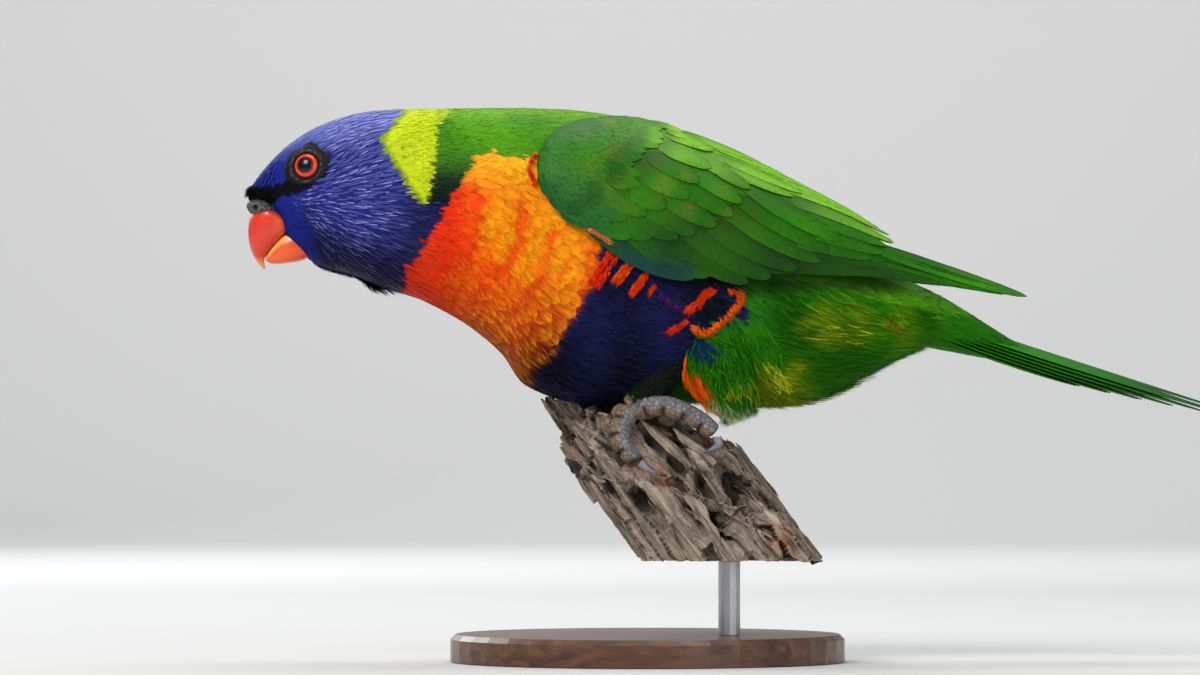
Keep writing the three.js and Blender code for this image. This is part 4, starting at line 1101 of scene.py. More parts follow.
plumeMarks = {
    "flankFeathers": ("trunk", "belly_plumage", [
        ([(4.2, 51.5), (-1.2, 42.8)], 1.9, -118, "flame", "red", 120, {"lift": 0.75}),
        ([(8.6, 49.2), (4.6, 43.6)], 1.3, -120, "orange", "flame", 90, {"lift": 0.75}),
        ([(13.3, 45.8), (9.5, 40.3)], 1.0, -122, "flame", "flame", 70, {"lift": 0.75}),
        ([(16.8, 43.8), (14.6, 40.5)], 0.6, -122, "rust", "red", 18, {}),
        ([(19, 39), (26, 34)], 2.4, -118, "purple", "purple", 50, {}),
        ([(29, 33.4), (37.5, 39)], 2.8, -125, "greenDark", "blueDark", 90, {}),
        ([(37.6, 31.4), (41.2, 30.4)], 2.2, -40, "teal", "vent", 60, {}),
        ([(25.8, 35.2), (28.6, 37), (30.4, 40), (33.7, 41.6)], 1.1, -128, "red", "flame", 130, {"lift": 0.7}),
        ([(26.6, 30), (30.9, 28.8), (35.1, 32.2), (38.8, 35.6), (40.8, 38), (40.9, 40.6), (38.2, 41.6)],
         0.95, -62, "flame", "orange", 280, {"lift": 0.75, "long": (1.6, 2.9), "fan": 16}),
        ([(20.4, 29), (25, 31.6)], 0.8, -140, "flame", "red", 50, {"lift": 0.7}),
    ]),
    "ventPlumes": ("trunk", "rump_plumage", [
        ([(49, 21), (53, 13)], 1.8, -58, "ventYellow", "straw", 60, {"long": (8, 12), "lift": 1.0,
         "fan": 16}),
        ([(31, 27), (38, 30), (46, 28), (50, 20)], 3.6, -70, "vent", "vent", 330, {"long": (8, 13),
         "lift": 0.9, "fan": 12}),
        ([(44, 20), (49, 8)], 3.6, -62, "vent", "ventYellow", 240, {"long": (8, 12), "lift": 1.0, "fan": 12}),
        ([(46, 14), (60, 8), (76, 14)], 3.5, -34, "vent", "ventYellow", 260, {"long": (7, 12), "lift": 1.5,
         "fan": 14}),
        ([(62, 29.5), (80, 28)], 3.4, -9, "ventYellow", "straw", 20, {"long": (7, 11), "lift": 0.6,
         "fan": 12, "fine": 0.2}),
        ([(82, 33.5), (88, 29)], 2.2, -24, "ochre", "ochre", 16, {"long": (5, 8), "fine": 0.2}),
    ]),
    "throatFeathers": ("trunk", "head_plumage", [
        ([(-84, 48), (-74, 44.5), (-62, 40)], 1.6, -32, "night", "night", 160, {"long": (3, 5.5),
         "lift": 0.5}),
        ([(-70.5, 43.8), (-65, 41.2)], 1.2, -36, "night", "night", 90, {"long": (5, 7), "lift": 1.3}),
        ([(-53, 56.4), (-51.4, 55.2)], 0.5, -30, "wine", "rust", 10, {}),
        ([(-103.2, 71.6), (-102.6, 69.4)], 1.5, -104, "loresDark", "loresDark", 70, {"long": (1.4, 2.4),
         "fine": 0.13, "lift": 0.5}),
        ([(-103, 71), (-99, 70), (-95.4, 67.8)], 0.7, -75, "loresDark", "loresDark", 120, {"long": (1.3,
         2.2), "fine": 0.16, "lift": 0.4}),
    ]),
    "bendFeathers": ("trunk", "breast_plumage", [
        ([(-18.8, 80.8), (-20.6, 76.1), (-18.6, 72)], 0.5, -66, "flame", "red", 44, {"long": (2, 3.2),
         "lift": 1.1}),
    ]),
    "wristFeathers": ("wing", "wing_feathers", [
        ([(-3.2, 58.8), (2.6, 55.2)], 0.45, -32, "salmon", "salmon", 60, {"long": (1.6, 2.8), "lift": 0.5}),
    ]),
    "trouserFeathers": ("thigh", "thigh_plumage", [
        ([(27.5, 24.5), (33.5, 22)], 2.6, -48, "blue", "teal", 130, {"lift": 0.9}),
        ([(24.5, 19), (30, 9)], 2.0, -58, "flame", "orange", 110, {"long": (6, 9), "lift": 1.0}),
        ([(29.4, 8.6), (31.6, 6.6)], 1.0, -52, "orange", "gold", 40, {"long": (5, 8), "lift": 1.3}),
        ([(33, 9), (38, 4.5), (45, 4.5)], 3.0, -80, "vent", "wisp", 150, {"long": (6, 10), "lift": 1.0,
         "fan": 16, "fine": 0.24}),
        ([(36, 12), (44, 14), (46, 8)], 4.0, -72, "vent", "ventYellow", 90, {"long": (6, 10), "lift": 1.1,
         "fan": 18}),
        ([(30, 24), (36, 16), (42, 8)], 6.0, -76, "ventDark", "vent", 300, {"long": (5, 9), "lift": 0.9,
         "fan": 20}),
    ]),
}


def placeFinder(surface, low, high):  # finds the place on the left side that shows at x and z from the side
    grid = np.stack(np.meshgrid(
        np.linspace(low[0], high[0], 420), np.linspace(low[1], high[1], 220), indexing="ij"), -1).reshape(-1, 2)
    seen = surface.pointAt(grid)
    return lambda x, z: grid[int(np.argmin((seen[:, 0] - x) ** 2 + (seen[:, 2] - z) ** 2))]


plumeBase = {**coatStyle["down"], "sunk": -0.5, "loose": 0.35, "lift": 0.5, "long": (2.6, 4.2), "fan": 9,
             "fine": 0.34}
plumeBarbs = {"number": 6, "from": 0.3, "spread": 16, "stray": 6, "rise": 6, "camber": 0.03, "long": (0.8, 2.0),
              "bright": 1.1}


def layPlumes(into, surface, find, mark, chance):
    line, wide, slope, tone, tips, count, changes = mark
    style = {**plumeBase, **changes}
    knots = np.array([find(x, z) for x, z in line])
    share = chance.uniform(0, len(knots) - 1, count)
    spots = np.stack([np.interp(share, np.arange(len(knots)), knots[:, k]) for k in (0, 1)], -1)
    slope = np.radians(slope + style["fan"] * chance.standard_normal(count))
    nought = np.zeros(count)
    way = np.stack([np.cos(slope), nought, np.sin(slope)], -1)
    aside = np.stack([-np.sin(slope), nought, np.cos(slope)], -1)
    spots = spots + surface.step(spots, aside, wide * chance.uniform(-1, 1, count))
    stride = surface.step(spots, way, chance.uniform(*style["long"], count))

    def plumePaint(centre, t, chance):
        shade = mix(tones[tone], tones[tips], smoothStep(t, 0.45, 0.9)[:, None])
        light = 1 + 0.2 * chance.standard_normal((count, 1, 1, 1))
        return np.clip(shade[None, :, None] * light, 0, 1) * np.ones((1, 1, 4, 1))

    half = style["fine"] * chance.uniform(0.7, 1.3, count)
    laid = layVanes(into, surface, spots - 0.6 * stride, spots + 0.4 * stride, half, style, plumePaint, chance)
    addBarbs(into, laid, plumeBarbs, chance)


def makePlumes(feathers):
    thigh = thighTube(-1)
    surfaces = {
        "trunk": (trunk, placeFinder(trunk, (0, 0.05), (lastStation, 3.1))),
        "thigh": (thigh, placeFinder(thigh, (0, 0.2), (3, 2.9))),
        "wing": (wingTop, placeFinder(wingTop, (0.2, 0), (lastWing - 0.03, 1.02))),
    }
    for name, (lieOn, slot, marks) in plumeMarks.items():
        chance = np.random.default_rng(31)
        left = Vanes()
        for mark in marks:
            layPlumes(left, *surfaces[lieOn], mark, chance)
        put(left.piece(name + "Left"), feathers)
        put(left.mirrored().piece(name + "Right"), feathers)


legFeathers = {"long": 0.62, "stray": (0.14, 0.18), "half": (0.6, 0.42), "seeds": (21, 22),
               "barbs": {**greenBarbs, "long": (1.2, 3.4), "number": 9}}


def makeCoat():
    feathers = feathered("bodyFeathers", streak=0.3, relief=0.2)
    for region in coatRegions:
        coat(region, feathers)
    makePlumes(feathers)
    shape = legFeathers
    for sideName, side in (("Left", -1), ("Right", 1)):
        for name, tube, spacing, paint in (("thighFeathers", thighTube(side), 1.05, thighPaint),
                                           ("shinFeathers", shinTube(side), 0.95, shinPaint)):
            root = throwDarts(tube, (0.1, -math.pi), (tube.span - 0.2, math.pi), evenly(spacing), anywhere,
                              shape["seeds"][0])
            chance = np.random.default_rng(shape["seeds"][1])
            stray = [by * chance.standard_normal(len(root)) for by in shape["stray"]]
            tip = root + (np.stack(stray, -1) + [shape["long"], 0])
            half = mix(*shape["half"], root[:, 0] / tube.span)
            vanes = Vanes()
            laid = layVanes(vanes, tube, root, tip, half, coatStyle["down"], paint, chance)
            addBarbs(vanes, laid, shape["barbs"], chance)
            put(vanes.piece(name + sideName), feathers)


def thighPaint(centre, t, chance):  # orange in front of the leg, green behind it
    shown = centre[:, len(t) // 2]
    front = np.interp(shown[:, 2], [0, 10, 20, 30], [33, 31, 27, 24])
    orange = (smoothStep(front + 3 - shown[:, 0], 0, 2.5) * smoothStep(18 - shown[:, 2], 0, 3))[:, None]
    patch = 0.35 + 0.35 * patchy(shown, 12, 27)[:, None] + 0.2 * chance.standard_normal((len(centre), 1))
    base = mix(tones["vent"], tones["ventDark"], np.clip(patch, 0, 1))
    base = mix(base, mix(tones["orange"], tones["red"], 0.35), orange)
    fade = (1 - 0.5 * smoothStep(-t, -0.5, -0.1))[None, :, None, None]
    return np.clip(base[:, None, None] * fade * np.ones((1, 1, 4, 1)), 0, 1)


def shinTube(side):
    return Tube([(x, side * y, z) for x, y, z in skinParts["shinPath"]], skinParts["shinRadii"])


def shinPaint(centre, t, chance):
    light = 0.9 + 0.25 * chance.standard_normal((len(centre), 1, 1, 1))
    return np.clip(tones["blueDark"] * light * np.ones((1, len(t), 4, 1)), 0, 1)


# The wings

wingTones = {
    "leaf": rgb(54, 128, 8), "leafDeep": rgb(34, 98, 4), "front": rgb(62, 120, 52),
    "frontDeep": rgb(36, 92, 52),
    "stripe": rgb(124, 192, 30), "edge": rgb(26, 62, 60), "gloss": rgb(84, 150, 30), "olive": rgb(94, 124, 36),
}
# Tips and roots as seen from the side, x and z, from the lowest feather to the highest: primaries, tertials,
# secondaries, coverts of the back, and the greater and median coverts
wingRows = [
    {"count": 8, "half": 2.5, "lift": 0.02, "sunk": -0.35, "outline": "long",
     "tips": [(88, 45.4), (98, 43.9), (112, 41.7), (126.4, 38.9)],
     "roots": [(46, 48.3), (54, 50.3), (61, 52.6), (70, 57)]},
    {"count": 8, "half": 2.9, "lift": 0.11, "sunk": -0.35, "outline": "blade",
     "tips": [(79, 50.4), (84.5, 53.2), (87.3, 55.6), (80, 60.6), (68, 67.2)],
     "roots": [(42, 61), (46, 67), (48, 72), (40, 78.6), (30, 84.6)]},
    {"count": 8, "half": 3.9, "lift": 0.13, "sunk": -0.35, "outline": "blade",
     "tips": [(27, 45.2), (34.6, 44.8), (44.7, 43.3), (50.9, 44.8), (57.3, 47.0), (64.3, 49.4), (67.6, 52.8),
              (70.6, 55.6)],
     "roots": [(-2, 58.5), (5, 60.5), (12, 62.5), (18, 64), (24, 66), (31, 68.5), (35, 72), (38, 75)]},
    {"count": 5, "half": 2.8, "lift": 0.18, "sunk": -0.3, "outline": "blade",
     "tips": [(56, 68.5), (60, 71.5), (48, 78.5)], "roots": [(30, 80), (32, 84), (20, 88.6)]},
    {"count": 8, "half": 3.9, "lift": 0.2, "sunk": -0.3, "outline": "round",
     "tips": [(10, 55.6), (18, 56.0), (28, 56.4), (35, 60.0), (41, 64.5), (44.5, 70.5)],
     "roots": [(-9, 66), (-2, 68), (8, 69), (15, 73.5), (21, 78), (24, 84)], "edges": "soft"},
    {"count": 8, "half": 4.1, "lift": 0.25, "sunk": -0.25, "outline": "round",
     "tips": [(2, 60.5), (10, 62.0), (19, 64.0), (26, 69.0), (31, 75.0), (34, 81.5)],
     "roots": [(-12, 69), (-6, 71), (4, 73), (11, 78), (16, 83), (18, 88)], "edges": "soft"},
]
wingVane = {"rings": 12, "camber": 0.05, "ridge": 0.06, "thick": 0.1, "ragged": 0.03, "roll": 2, "rise": 0.8,
            "least": 0.06, "patch": 0.02}
covertStyle = {"rings": 5, "outline": "soft", "sunk": 0.16, "lift": 0.28, "loose": 0.03, "camber": 0.0,
               "ridge": 0.01, "thick": 0.03, "ragged": 0.12, "unrest": 0.3}
wingBarbs = {"number": 40, "from": 0.5, "spread": 20, "stray": 3, "camber": 0.03, "long": (0.8, 2.0)}
vaneEdgeLightAndShade = {  # how light the left edge, the shaft, the right edge and the underside are, as painted light and shade: the left edge, under the feather above, and the underside are painted darker, the right edge lighter
    "row": (0.6, 0.98, 1.1, 0.4), "soft": (0.8, 1.0, 1.04, 0.6), "covert": (0.97, 1.0, 1.01, 0.7)}
wingCore = {"from": 0.1, "to": 7.3, "deep": 6.0, "thin": 0.6, "half": 0.46}


def wingPaint(centre, t, chance, edges=vaneEdgeLightAndShade["row"]):
    count = len(centre)
    x, z = centre[..., 0], centre[..., 2]
    line = wingBeside(x)
    upper, lower = line[..., 2], line[..., 5]
    down = np.clip((upper - z) / np.maximum(upper - lower, 1), 0, 1)
    patch, mottle = (patchy(centre.reshape(-1, 3), *grain).reshape(x.shape) for grain in ((17, 31), (9, 37)))
    each = 0.1 * chance.standard_normal((count, 1))

    def toward(tone, other, share):
        return mix(tone, other, share[..., None])

    tone = toward(wingTones["leaf"], wingTones["leafDeep"], np.clip(0.4 + 0.5 * patch + each, 0, 1))
    bluish = smoothStep(-x, -10, 20) * 0.8 + smoothStep(down - x / 90, 0.4, 0.9) * 0.5 + 0.25 * patch
    front = toward(wingTones["front"], wingTones["frontDeep"], smoothStep(down, 0.5, 0.95))
    tone = toward(tone, front, np.clip(bluish, 0, 1) * 0.8)
    dull = np.clip(0.2 + 0.7 * mottle, 0, 1) * smoothStep(x, -14, 2) * smoothStep(-x, -54, -36)
    tone = toward(tone, wingTones["olive"], dull * smoothStep(-down, -0.8, -0.6) * 0.65)
    stripe = smoothStep(-down, -0.26, -0.1) * smoothStep(x, 4, 26) * (1 - 0.6 * smoothStep(x, 88, 108))
    tone = toward(tone, wingTones["stripe"], stripe * 0.9)
    # the lower part of the wing is darker: partly its own deeper green, partly painted shade of the light
    # falling from above
    tone = tone * (0.92 - 0.52 * smoothStep(down, 0.3, 0.85) * smoothStep(x, 0, 30))[..., None]
    brink = smoothStep(down, 0.88, 0.95) * smoothStep(-x, -31, -24) * smoothStep(x, 0, 8)
    tone = toward(tone, wingTones["edge"], brink * 0.85)
    # painted light and shade across each vane, from the table of its edges
    tints = tone[:, :, None] * np.array(edges)[:, None]
    # toward each tip the tint takes a little of the gloss green: a painted sheen along the rims
    rim = smoothStep(t, 0.8, 1.0)[None, :, None, None]
    root = smoothStep(-t, -0.5, -0.15)[None, :, None, None]
    tints = mix(tints, tints * 0.9 + wingTones["gloss"] * 0.06, rim)
    light = 1 + 0.06 * chance.standard_normal((count, 1, 1, 1))
    return np.clip(tints * (1 - 0.4 * root) * light, 0, 1)


def wingPaintWith(edges):
    return lambda centre, t, chance: wingPaint(centre, t, chance, edges)


def makeWings():
    feathers = feathered("wingFeathers", rough=0.46, streak=0.26, relief=0.3, gloss=0.12)
    left = Vanes()
    chance = np.random.default_rng(41)
    find = placeFinder(wingTop, (0.2, 0), (lastWing - 0.03, 1.05))
    for row in wingRows:
        share = np.linspace(0, 1, row["count"])
        tip, root = (np.array([find(*spot) for spot in np.stack([
            np.interp(share, np.linspace(0, 1, len(row[key])), np.array(row[key])[:, k]) for k in (0, 1)], -1)])
            for key in ("tips", "roots"))
        tip[:, 0] += 0.05 * chance.standard_normal(len(tip))
        half = row["half"] * (1 + 0.06 * chance.standard_normal(len(tip)))
        edges = vaneEdgeLightAndShade[row.get("edges", "row")]
        laid = layVanes(left, wingTop, root, tip, half, {**wingVane, **row}, wingPaintWith(edges), chance)
        addBarbs(left, laid, wingBarbs, chance)
    layFrontCoverts(left, chance)

    def coreAt(along, turn):
        station = mix(wingCore["from"], wingCore["to"], along)
        swell = smoothStep(station, 0, 1.5) * (1 - smoothStep(station, 5, 8))
        depth = mix(wingCore["thin"], wingCore["deep"], swell)
        angle = turn * 2 * math.pi
        point, _, _, normal = wingTop.frame(np.stack([station, 0.5 - wingCore["half"] * np.cos(angle)], -1))
        return point - normal * (0.3 + depth * np.maximum(0, -np.sin(angle)))[:, None]

    for sideName, vanes, side in (("Left", left, 1), ("Right", left.mirrored(), -1)):
        put(vanes.piece("wingFeathers" + sideName), feathers, ("wing_" + sideName.lower(),))
        flesh = pieceFrom(loftBody(60, 36, lambda a, b: coreAt(a, b) * [1, side, 1]), "wingCore" + sideName)
        tinted(flesh, wingPaint(cornersOf(flesh)[:, None], np.array([0.5]), chance)[:, 0, 1] * 0.8)
        put(flesh, feathers)
        flesh.data.uv_layers[0].name = "vane"


def layFrontCoverts(into, chance):  # small soft coverts over the front of the wing
    def keepFront(points, place):
        return place[:, 0] + 0.45 * patchy(points, 8, 45) < 1.9 + 1.9 * (1 - place[:, 1])

    root = throwDarts(wingTop, (0.12, 0.02), (4.6, 0.99), lambda p: mix(0.9, 1.3, smoothStep(p[:, 0], -18, 10)),
                      keepFront, 43)
    root = root[np.argsort(-root[:, 0])]
    onFront = smoothStep(root[:, 0], 0.3, 2.6)
    slope = -0.32 + 0.1 * chance.standard_normal(len(root)) - 0.3 * (root[:, 1] - 0.5)
    way = unit(np.stack([np.ones(len(root)), np.zeros(len(root)), slope], -1))
    tip = root + wingTop.step(root, way, mix(3.6, 6.8, onFront))
    tip[:, 1] = np.clip(tip[:, 1], 0.0, 1.0)
    toEdge = smoothStep(root[:, 0] - 1.9 * (1 - root[:, 1]), 0.6, 2.0)
    laid = layVanes(into, wingTop, root, tip, mix(1.0, 1.9, onFront),
                    {**covertStyle, "lift": mix(0.28, 0.03, toEdge)},
                    wingPaintWith(vaneEdgeLightAndShade["covert"]), chance)
    addBarbs(into, laid, {**wingBarbs, "number": 9, "spread": 24, "long": (0.7, 1.8)}, chance)


# The tail

tailFan = {"from": 30.0, "above": 2.0, "shorter": 9.2, "spread": 1.7, "droop": 0.85, "roll": 12, "half": 4.6}
tailVane = {**wingVane, "rings": 16, "outline": "sharp", "sunk": 0, "lift": 0.1, "roll": 0, "ridge": 0.25,
            "camber": 0.08, "patch": 0.05, "thick": 0.25}
tailTones = {"top": rgb(44, 118, 18), "deep": rgb(20, 70, 22), "under": rgb(150, 150, 24)}


def tailPaint(centre, t, chance):
    tone = mix(tailTones["top"], tailTones["deep"], smoothStep(t, 0.3, 1.0)[:, None])
    tints = tone[:, None] * np.array([0.8, 1.0, 0.9, 1.0])[:, None]  # left edge, shaft, right edge and below
    tints[:, 3] = tailTones["under"] * 0.8
    return np.clip(tints * (1 + 0.06 * chance.standard_normal((len(centre), 1, 1, 1))), 0, 1)


tailStump = {"halves": ([22, 29.7, 54, 80], [10.8, 10.2, 6.2, 5.2]),
             "deep": ([22, 29.7, 54, 80], [8.2, 7.6, 2.9, 1.9]),
             "above": ([29.7, 54, 80], [0.5, -1.0, -1.2])}  # each by millimetres along the tail


def tailRootPoint(place):  # round the root of the tail, by centimetres along it and an angle
    ahead, angle = place[..., 0] * 10, place[..., 1]
    half, deep, above = (np.interp(ahead, *tailStump[key]) for key in ("halves", "deep", "above"))
    return tailPoint(ahead, -half * fuller(np.sin(angle)), above + deep * fuller(np.cos(angle)))


tailRoot = Surface(tailRootPoint, 8.0, True)


def tailCoverts(feathers):
    chance = np.random.default_rng(71)
    root = throwDarts(tailRoot, (1.7, -math.pi), (4.3, math.pi), evenly(2.1), anywhere, 72)
    root = root[np.argsort(-root[:, 0])]
    long = 17 + 2.5 * chance.standard_normal(len(root))
    way = tailAhead + 0.05 * chance.standard_normal((len(root), 3))
    vanes = Vanes()
    laid = layVanes(vanes, tailRoot, root, root + tailRoot.step(root, way, long), np.full(len(root), 2.0),
                    {**coatStyle["broad"], "outline": "blade", "lift": 0.25}, bodyPaint, chance)
    addBarbs(vanes, laid, {**greenBarbs, "number": 18, "long": (0.8, 2.6)}, chance)
    put(vanes.piece("tailCoverts"), feathers)


def makeTail():
    fan = tailFan
    feathers = feathered("tailFeathers", rough=0.48, streak=0.22, relief=0.25)
    vanes = Vanes()
    chance = np.random.default_rng(61)
    roll, side = math.radians(fan["roll"]), np.array([0.0, -1.0, 0.0])
    outwards = side * math.cos(roll) - tailUp * math.sin(roll)

    def layBlade(start, ahead, aside, inset, long, camber):
        blade = Surface(lambda place: start + place[..., :1] * ahead + place[..., 1:] * aside, 200)
        layVanes(vanes, blade, np.array([[0, inset]]), np.array([[long, inset]]), np.array([fan["half"]]),
                 {**tailVane, "camber": camber}, tailPaint, chance)

    for pair in reversed(range(6)):
        yaw = math.radians(fan["spread"] * pair)
        layBlade(tailPoint(fan["from"], -0.15, fan["above"] - fan["droop"] * pair),
                 tailAhead * math.cos(yaw) + outwards * math.sin(yaw), outwards, fan["half"] * 0.95,
                 tailPlace["length"] - pair * fan["shorter"] - fan["from"], tailVane["camber"])
    vanes.extend(vanes.mirrored())
    # one of the two middle feathers lies over the other, on the middle line
    layBlade(tailPoint(fan["from"], 0, fan["above"] + 0.15), tailAhead, side, 0.0,
             tailPlace["length"] - fan["from"], 0.2)
    put(vanes.piece("tailFeathers"), feathers, ("tail",))
    tailCoverts(feathered("coverts"))


# Bill, cere and eyes

billShape = {
    "upper": [  # x and z of the outer and the inner line, and the half width
        (-97.4, 66.4, -92.6, 63.2, 3.6), (-100.8, 66.0, -91.3, 60.8, 6.0), (-102.6, 63.2, -91.9, 58.4, 6.3),
        (-103.4, 60.2, -93.4, 57.0, 6.0), (-103.5, 57.2, -95.2, 55.0, 5.3), (-103.0, 54.0, -97.2, 52.8, 4.2),
        (-102.0, 51.3, -98.6, 50.8, 2.8), (-100.5, 49.0, -98.7, 49.2, 1.4), (-98.9, 47.2, -98.4, 47.5, 0.4)],
    "lower": [
        (-88.6, 58.6, -85.0, 51.0, 4.6), (-90.9, 58.8, -88.0, 49.7, 5.5), (-93.5, 57.3, -92.2, 49.0, 5.2),
        (-95.6, 55.1, -95.0, 48.8, 4.4), (-97.2, 53.1, -97.0, 49.0, 3.1), (-98.4, 51.4, -98.3, 49.9, 1.5)],
    # ridge is the pinkish tone of a painted highlight along the top of the upper bill
    "red": rgb(226, 58, 34), "orange": rgb(238, 96, 34), "tip": rgb(246, 170, 70), "ridge": rgb(244, 120, 96),
    "rim": rgb(250, 206, 110),
    "lowerEdge": ([-98.4, -97.2, -95.6, -93.5, -90.9, -88.6], [51.4, 52.9, 54.7, 56.7, 58, 57.9]),  # x and z
}


def billPart(name, sections, squareness, ridge):
    line = splineThrough(sections)

    def at(along, turn):
        section = line(along)
        angle = turn * 2 * math.pi
        nought = np.zeros_like(angle)
        outer = np.stack([section[:, 0], nought, section[:, 1]], -1)
        inner = np.stack([section[:, 2], nought, section[:, 3]], -1)
        c, s = np.cos(angle), np.sin(angle)
        blunt = np.where(c < 0, 0.45, squareness)
        wide = section[:, 4] * np.sign(s) * np.abs(s) ** blunt * (1 - ridge * np.clip(c, 0, 1) ** 3)
        return mix(inner, outer, (0.5 + 0.5 * np.sign(c) * np.abs(c) ** 0.9)[:, None]) + np.stack(
            [nought, -wide, nought], -1)

    return pieceFrom(loftBody(64, 48, at), name)


def makeBill():
    shape = billShape
    finish = Finish("billHorn")
    place = finish.here()
    growth = finish.noise(finish.stretched(place, (1.0, 1.0, 0.35), (0.0, 0.5, 0.0)), 900, 3)
    mottle = finish.noise(place, 420, 3)
    finish.set(BaseColor=finish.shade(finish.attribute("tint"), 0.84 + growth * 0.16 + mottle * 0.16),
               Roughness=0.26 + mottle * 0.16, Normal=finish.bump(growth, 0.12, 0.0002), CoatWeight=0.25,
               CoatRoughness=0.2)
    upper = billPart("billUpper", shape["upper"], 0.85, 0.28)
    x, y, z = cornersOf(upper).T
    tone = mix(shape["red"], shape["orange"], (smoothStep(x, -97.5, -92) * smoothStep(z, 54, 60))[:, None])
    # a painted highlight: the top of the upper bill, along its ridge, takes a paler pinkish tone
    ridge = smoothStep(-np.abs(y), -2.4, -0.4) * smoothStep(-x, 100, 102.5) * smoothStep(z, 52, 58)
    tone = mix(tone, shape["ridge"], ridge[:, None] * 0.55)
    tone = mix(tone, shape["tip"], smoothStep(-z, -51.5, -48.5)[:, None] * 0.85)
    put(tinted(upper, tone), finish, ("bill_upper",))
    lower = billPart("billLower", shape["lower"], 0.8, 0.0)
    x, y, z = cornersOf(lower).T
    tone = mix(shape["orange"], shape["red"], smoothStep(x, -93, -88)[:, None] * 0.5)
    rim = smoothStep(z - np.interp(x, *shape["lowerEdge"]), -2.6, -0.8)
    put(tinted(lower, mix(tone, shape["rim"], rim[:, None] * 0.8)), finish, ("bill_lower",))


cereShape = {"centre": (-98.8, 0, 65.2), "radii": (5.1, 6.2, 2.9), "turn": -10, "nostril": (-101.2, 4.6, 65.4),
             "pit": 0.7, "rim": 1.2, "rimHalf": 0.4, "sides": 2.5, "tone": rgb(40, 35, 35),
             "pale": rgb(112, 102, 98), "dark": rgb(8, 7, 8)}


def makeCere():
    shape = cereShape
    made = bmesh.new()
    bmesh.ops.create_uvsphere(made, u_segments=96, v_segments=64, radius=1)
    turn = Matrix.Rotation(math.radians(-shape["turn"]), 4, "Y")
    bmesh.ops.transform(made, verts=made.verts, matrix=(
        Matrix.Translation(shape["centre"]) @ turn @ Matrix.Diagonal((*shape["radii"], 1))))
    for vert in made.verts:
        nostril = Vector((shape["nostril"][0], math.copysign(shape["nostril"][1], vert.co.y),
                          shape["nostril"][2]))
        away = math.hypot(vert.co.x - nostril.x, vert.co.z - nostril.z)
        outwards = (vert.co - Vector(shape["centre"])).normalized()
        if abs(vert.co.y) > shape["sides"] and away < shape["rim"] + 0.9:
            pit = math.exp(-(away / shape["pit"]) ** 4) * 1.3
            ring = math.exp(-((away - shape["rim"]) / shape["rimHalf"]) ** 2) * 0.25
            vert.co += outwards * (ring - pit)
        vert.co += outwards * (0.3 * noise.noise(vert.co * 0.9) + 0.2 * noise.noise(vert.co * 2.2)
                               + 0.08 * noise.noise(vert.co * 5))
    cere = pieceFrom(made, "cere")
    p = cornersOf(cere)
    away = np.hypot(p[:, 0] - shape["nostril"][0], p[:, 2] - shape["nostril"][2])
    away = away + (np.abs(p[:, 1]) < shape["sides"]) * 9
    tone = mix(shape["tone"], shape["pale"], np.clip(0.4 + 0.45 * patchy(p, 1.0, 8), 0, 1)[:, None])
    tone = mix(tone, shape["pale"], np.exp(-((away - shape["rim"]) / shape["rimHalf"]) ** 2)[:, None] * 0.5)
    # painted shade: the nostril, a shallow pit in the mesh, is painted near black as the shade of a deep hole
    tone = mix(tone, shape["dark"], np.exp(-(away / 0.85) ** 4)[:, None])
    put(tinted(cere, tone), grainy("cereSkin", 2600, (0.7, 0.6), (0.55, 0.15), (0.3, 0.0002)),
        ("cere",))


eyeParts = {
    "centre": (-85.3, 8.8, 77.0), "radius": 4.6, "look": (-0.28, 1, 0.2), "iris": 3.55, "pupil": 2.0,
    "opening": 3.62, "irisTone": rgb(232, 72, 44), "irisDeep": rgb(120, 22, 16), "irisInner": rgb(74, 20, 16),
    "pupilTone": rgb(4, 4, 7), "skinTone": rgb(33, 29, 31), "skinPale": rgb(16, 13, 14),
    "wrinkle": rgb(104, 96, 92),
    # how far the bare skin reaches, how much further to the front and rear, and at its corners: which way they
    # are, how much further and how broad
    "bare": 5.3, "bareWide": 0.6,
    "corners": [(1.45, 1.9, 0.36), (0.45, 1.1, 0.34), (2.55, 0.7, 0.3), (-2.7, 0.9, 0.3), (-1.5, -0.5, 0.6)],
}


def eyeFinish():
    parts = eyeParts
    finish = Finish("eyeGlass")
    place = finish.here()
    centre = toScene(parts["centre"])
    mirrored = finish.vector(place.part(0), abs(place.part(1)), place.part(2))
    offset = finish.node("VectorMath", {"operation": "SUBTRACT"}, {0: mirrored, 1: tuple(centre)})
    look = Vector(parts["look"]).normalized()
    ahead = finish.node("VectorMath", {"operation": "DOT_PRODUCT"}, {0: offset, 1: tuple(look)}, 1)
    reach = finish.node("VectorMath", {"operation": "LENGTH"}, {0: offset}, 1)
    radius = ((reach * reach - ahead * ahead) * 1e6) ** 0.5
    ray = finish.noise(offset, 900, 3)
    ring = finish.ramp(radius / 5.0, [
        (0.0, parts["pupilTone"]), (parts["pupil"] / 5 - 0.01, parts["pupilTone"]),
        (parts["pupil"] / 5 + 0.02, parts["irisInner"]), (parts["pupil"] / 5 + 0.09, parts["irisDeep"]),
        (parts["pupil"] / 5 + 0.14, parts["irisTone"]), (parts["iris"] / 5 - 0.05, parts["irisTone"]),
        (parts["iris"] / 5, parts["irisDeep"]), (parts["iris"] / 5 + 0.03, parts["pupilTone"])])
    finish.set(BaseColor=finish.shade(ring, 0.75 + ray * 0.5), Roughness=0.3, CoatWeight=0.5,
               CoatRoughness=0.03,
               SpecularIORLevel=0.2)
    return finish


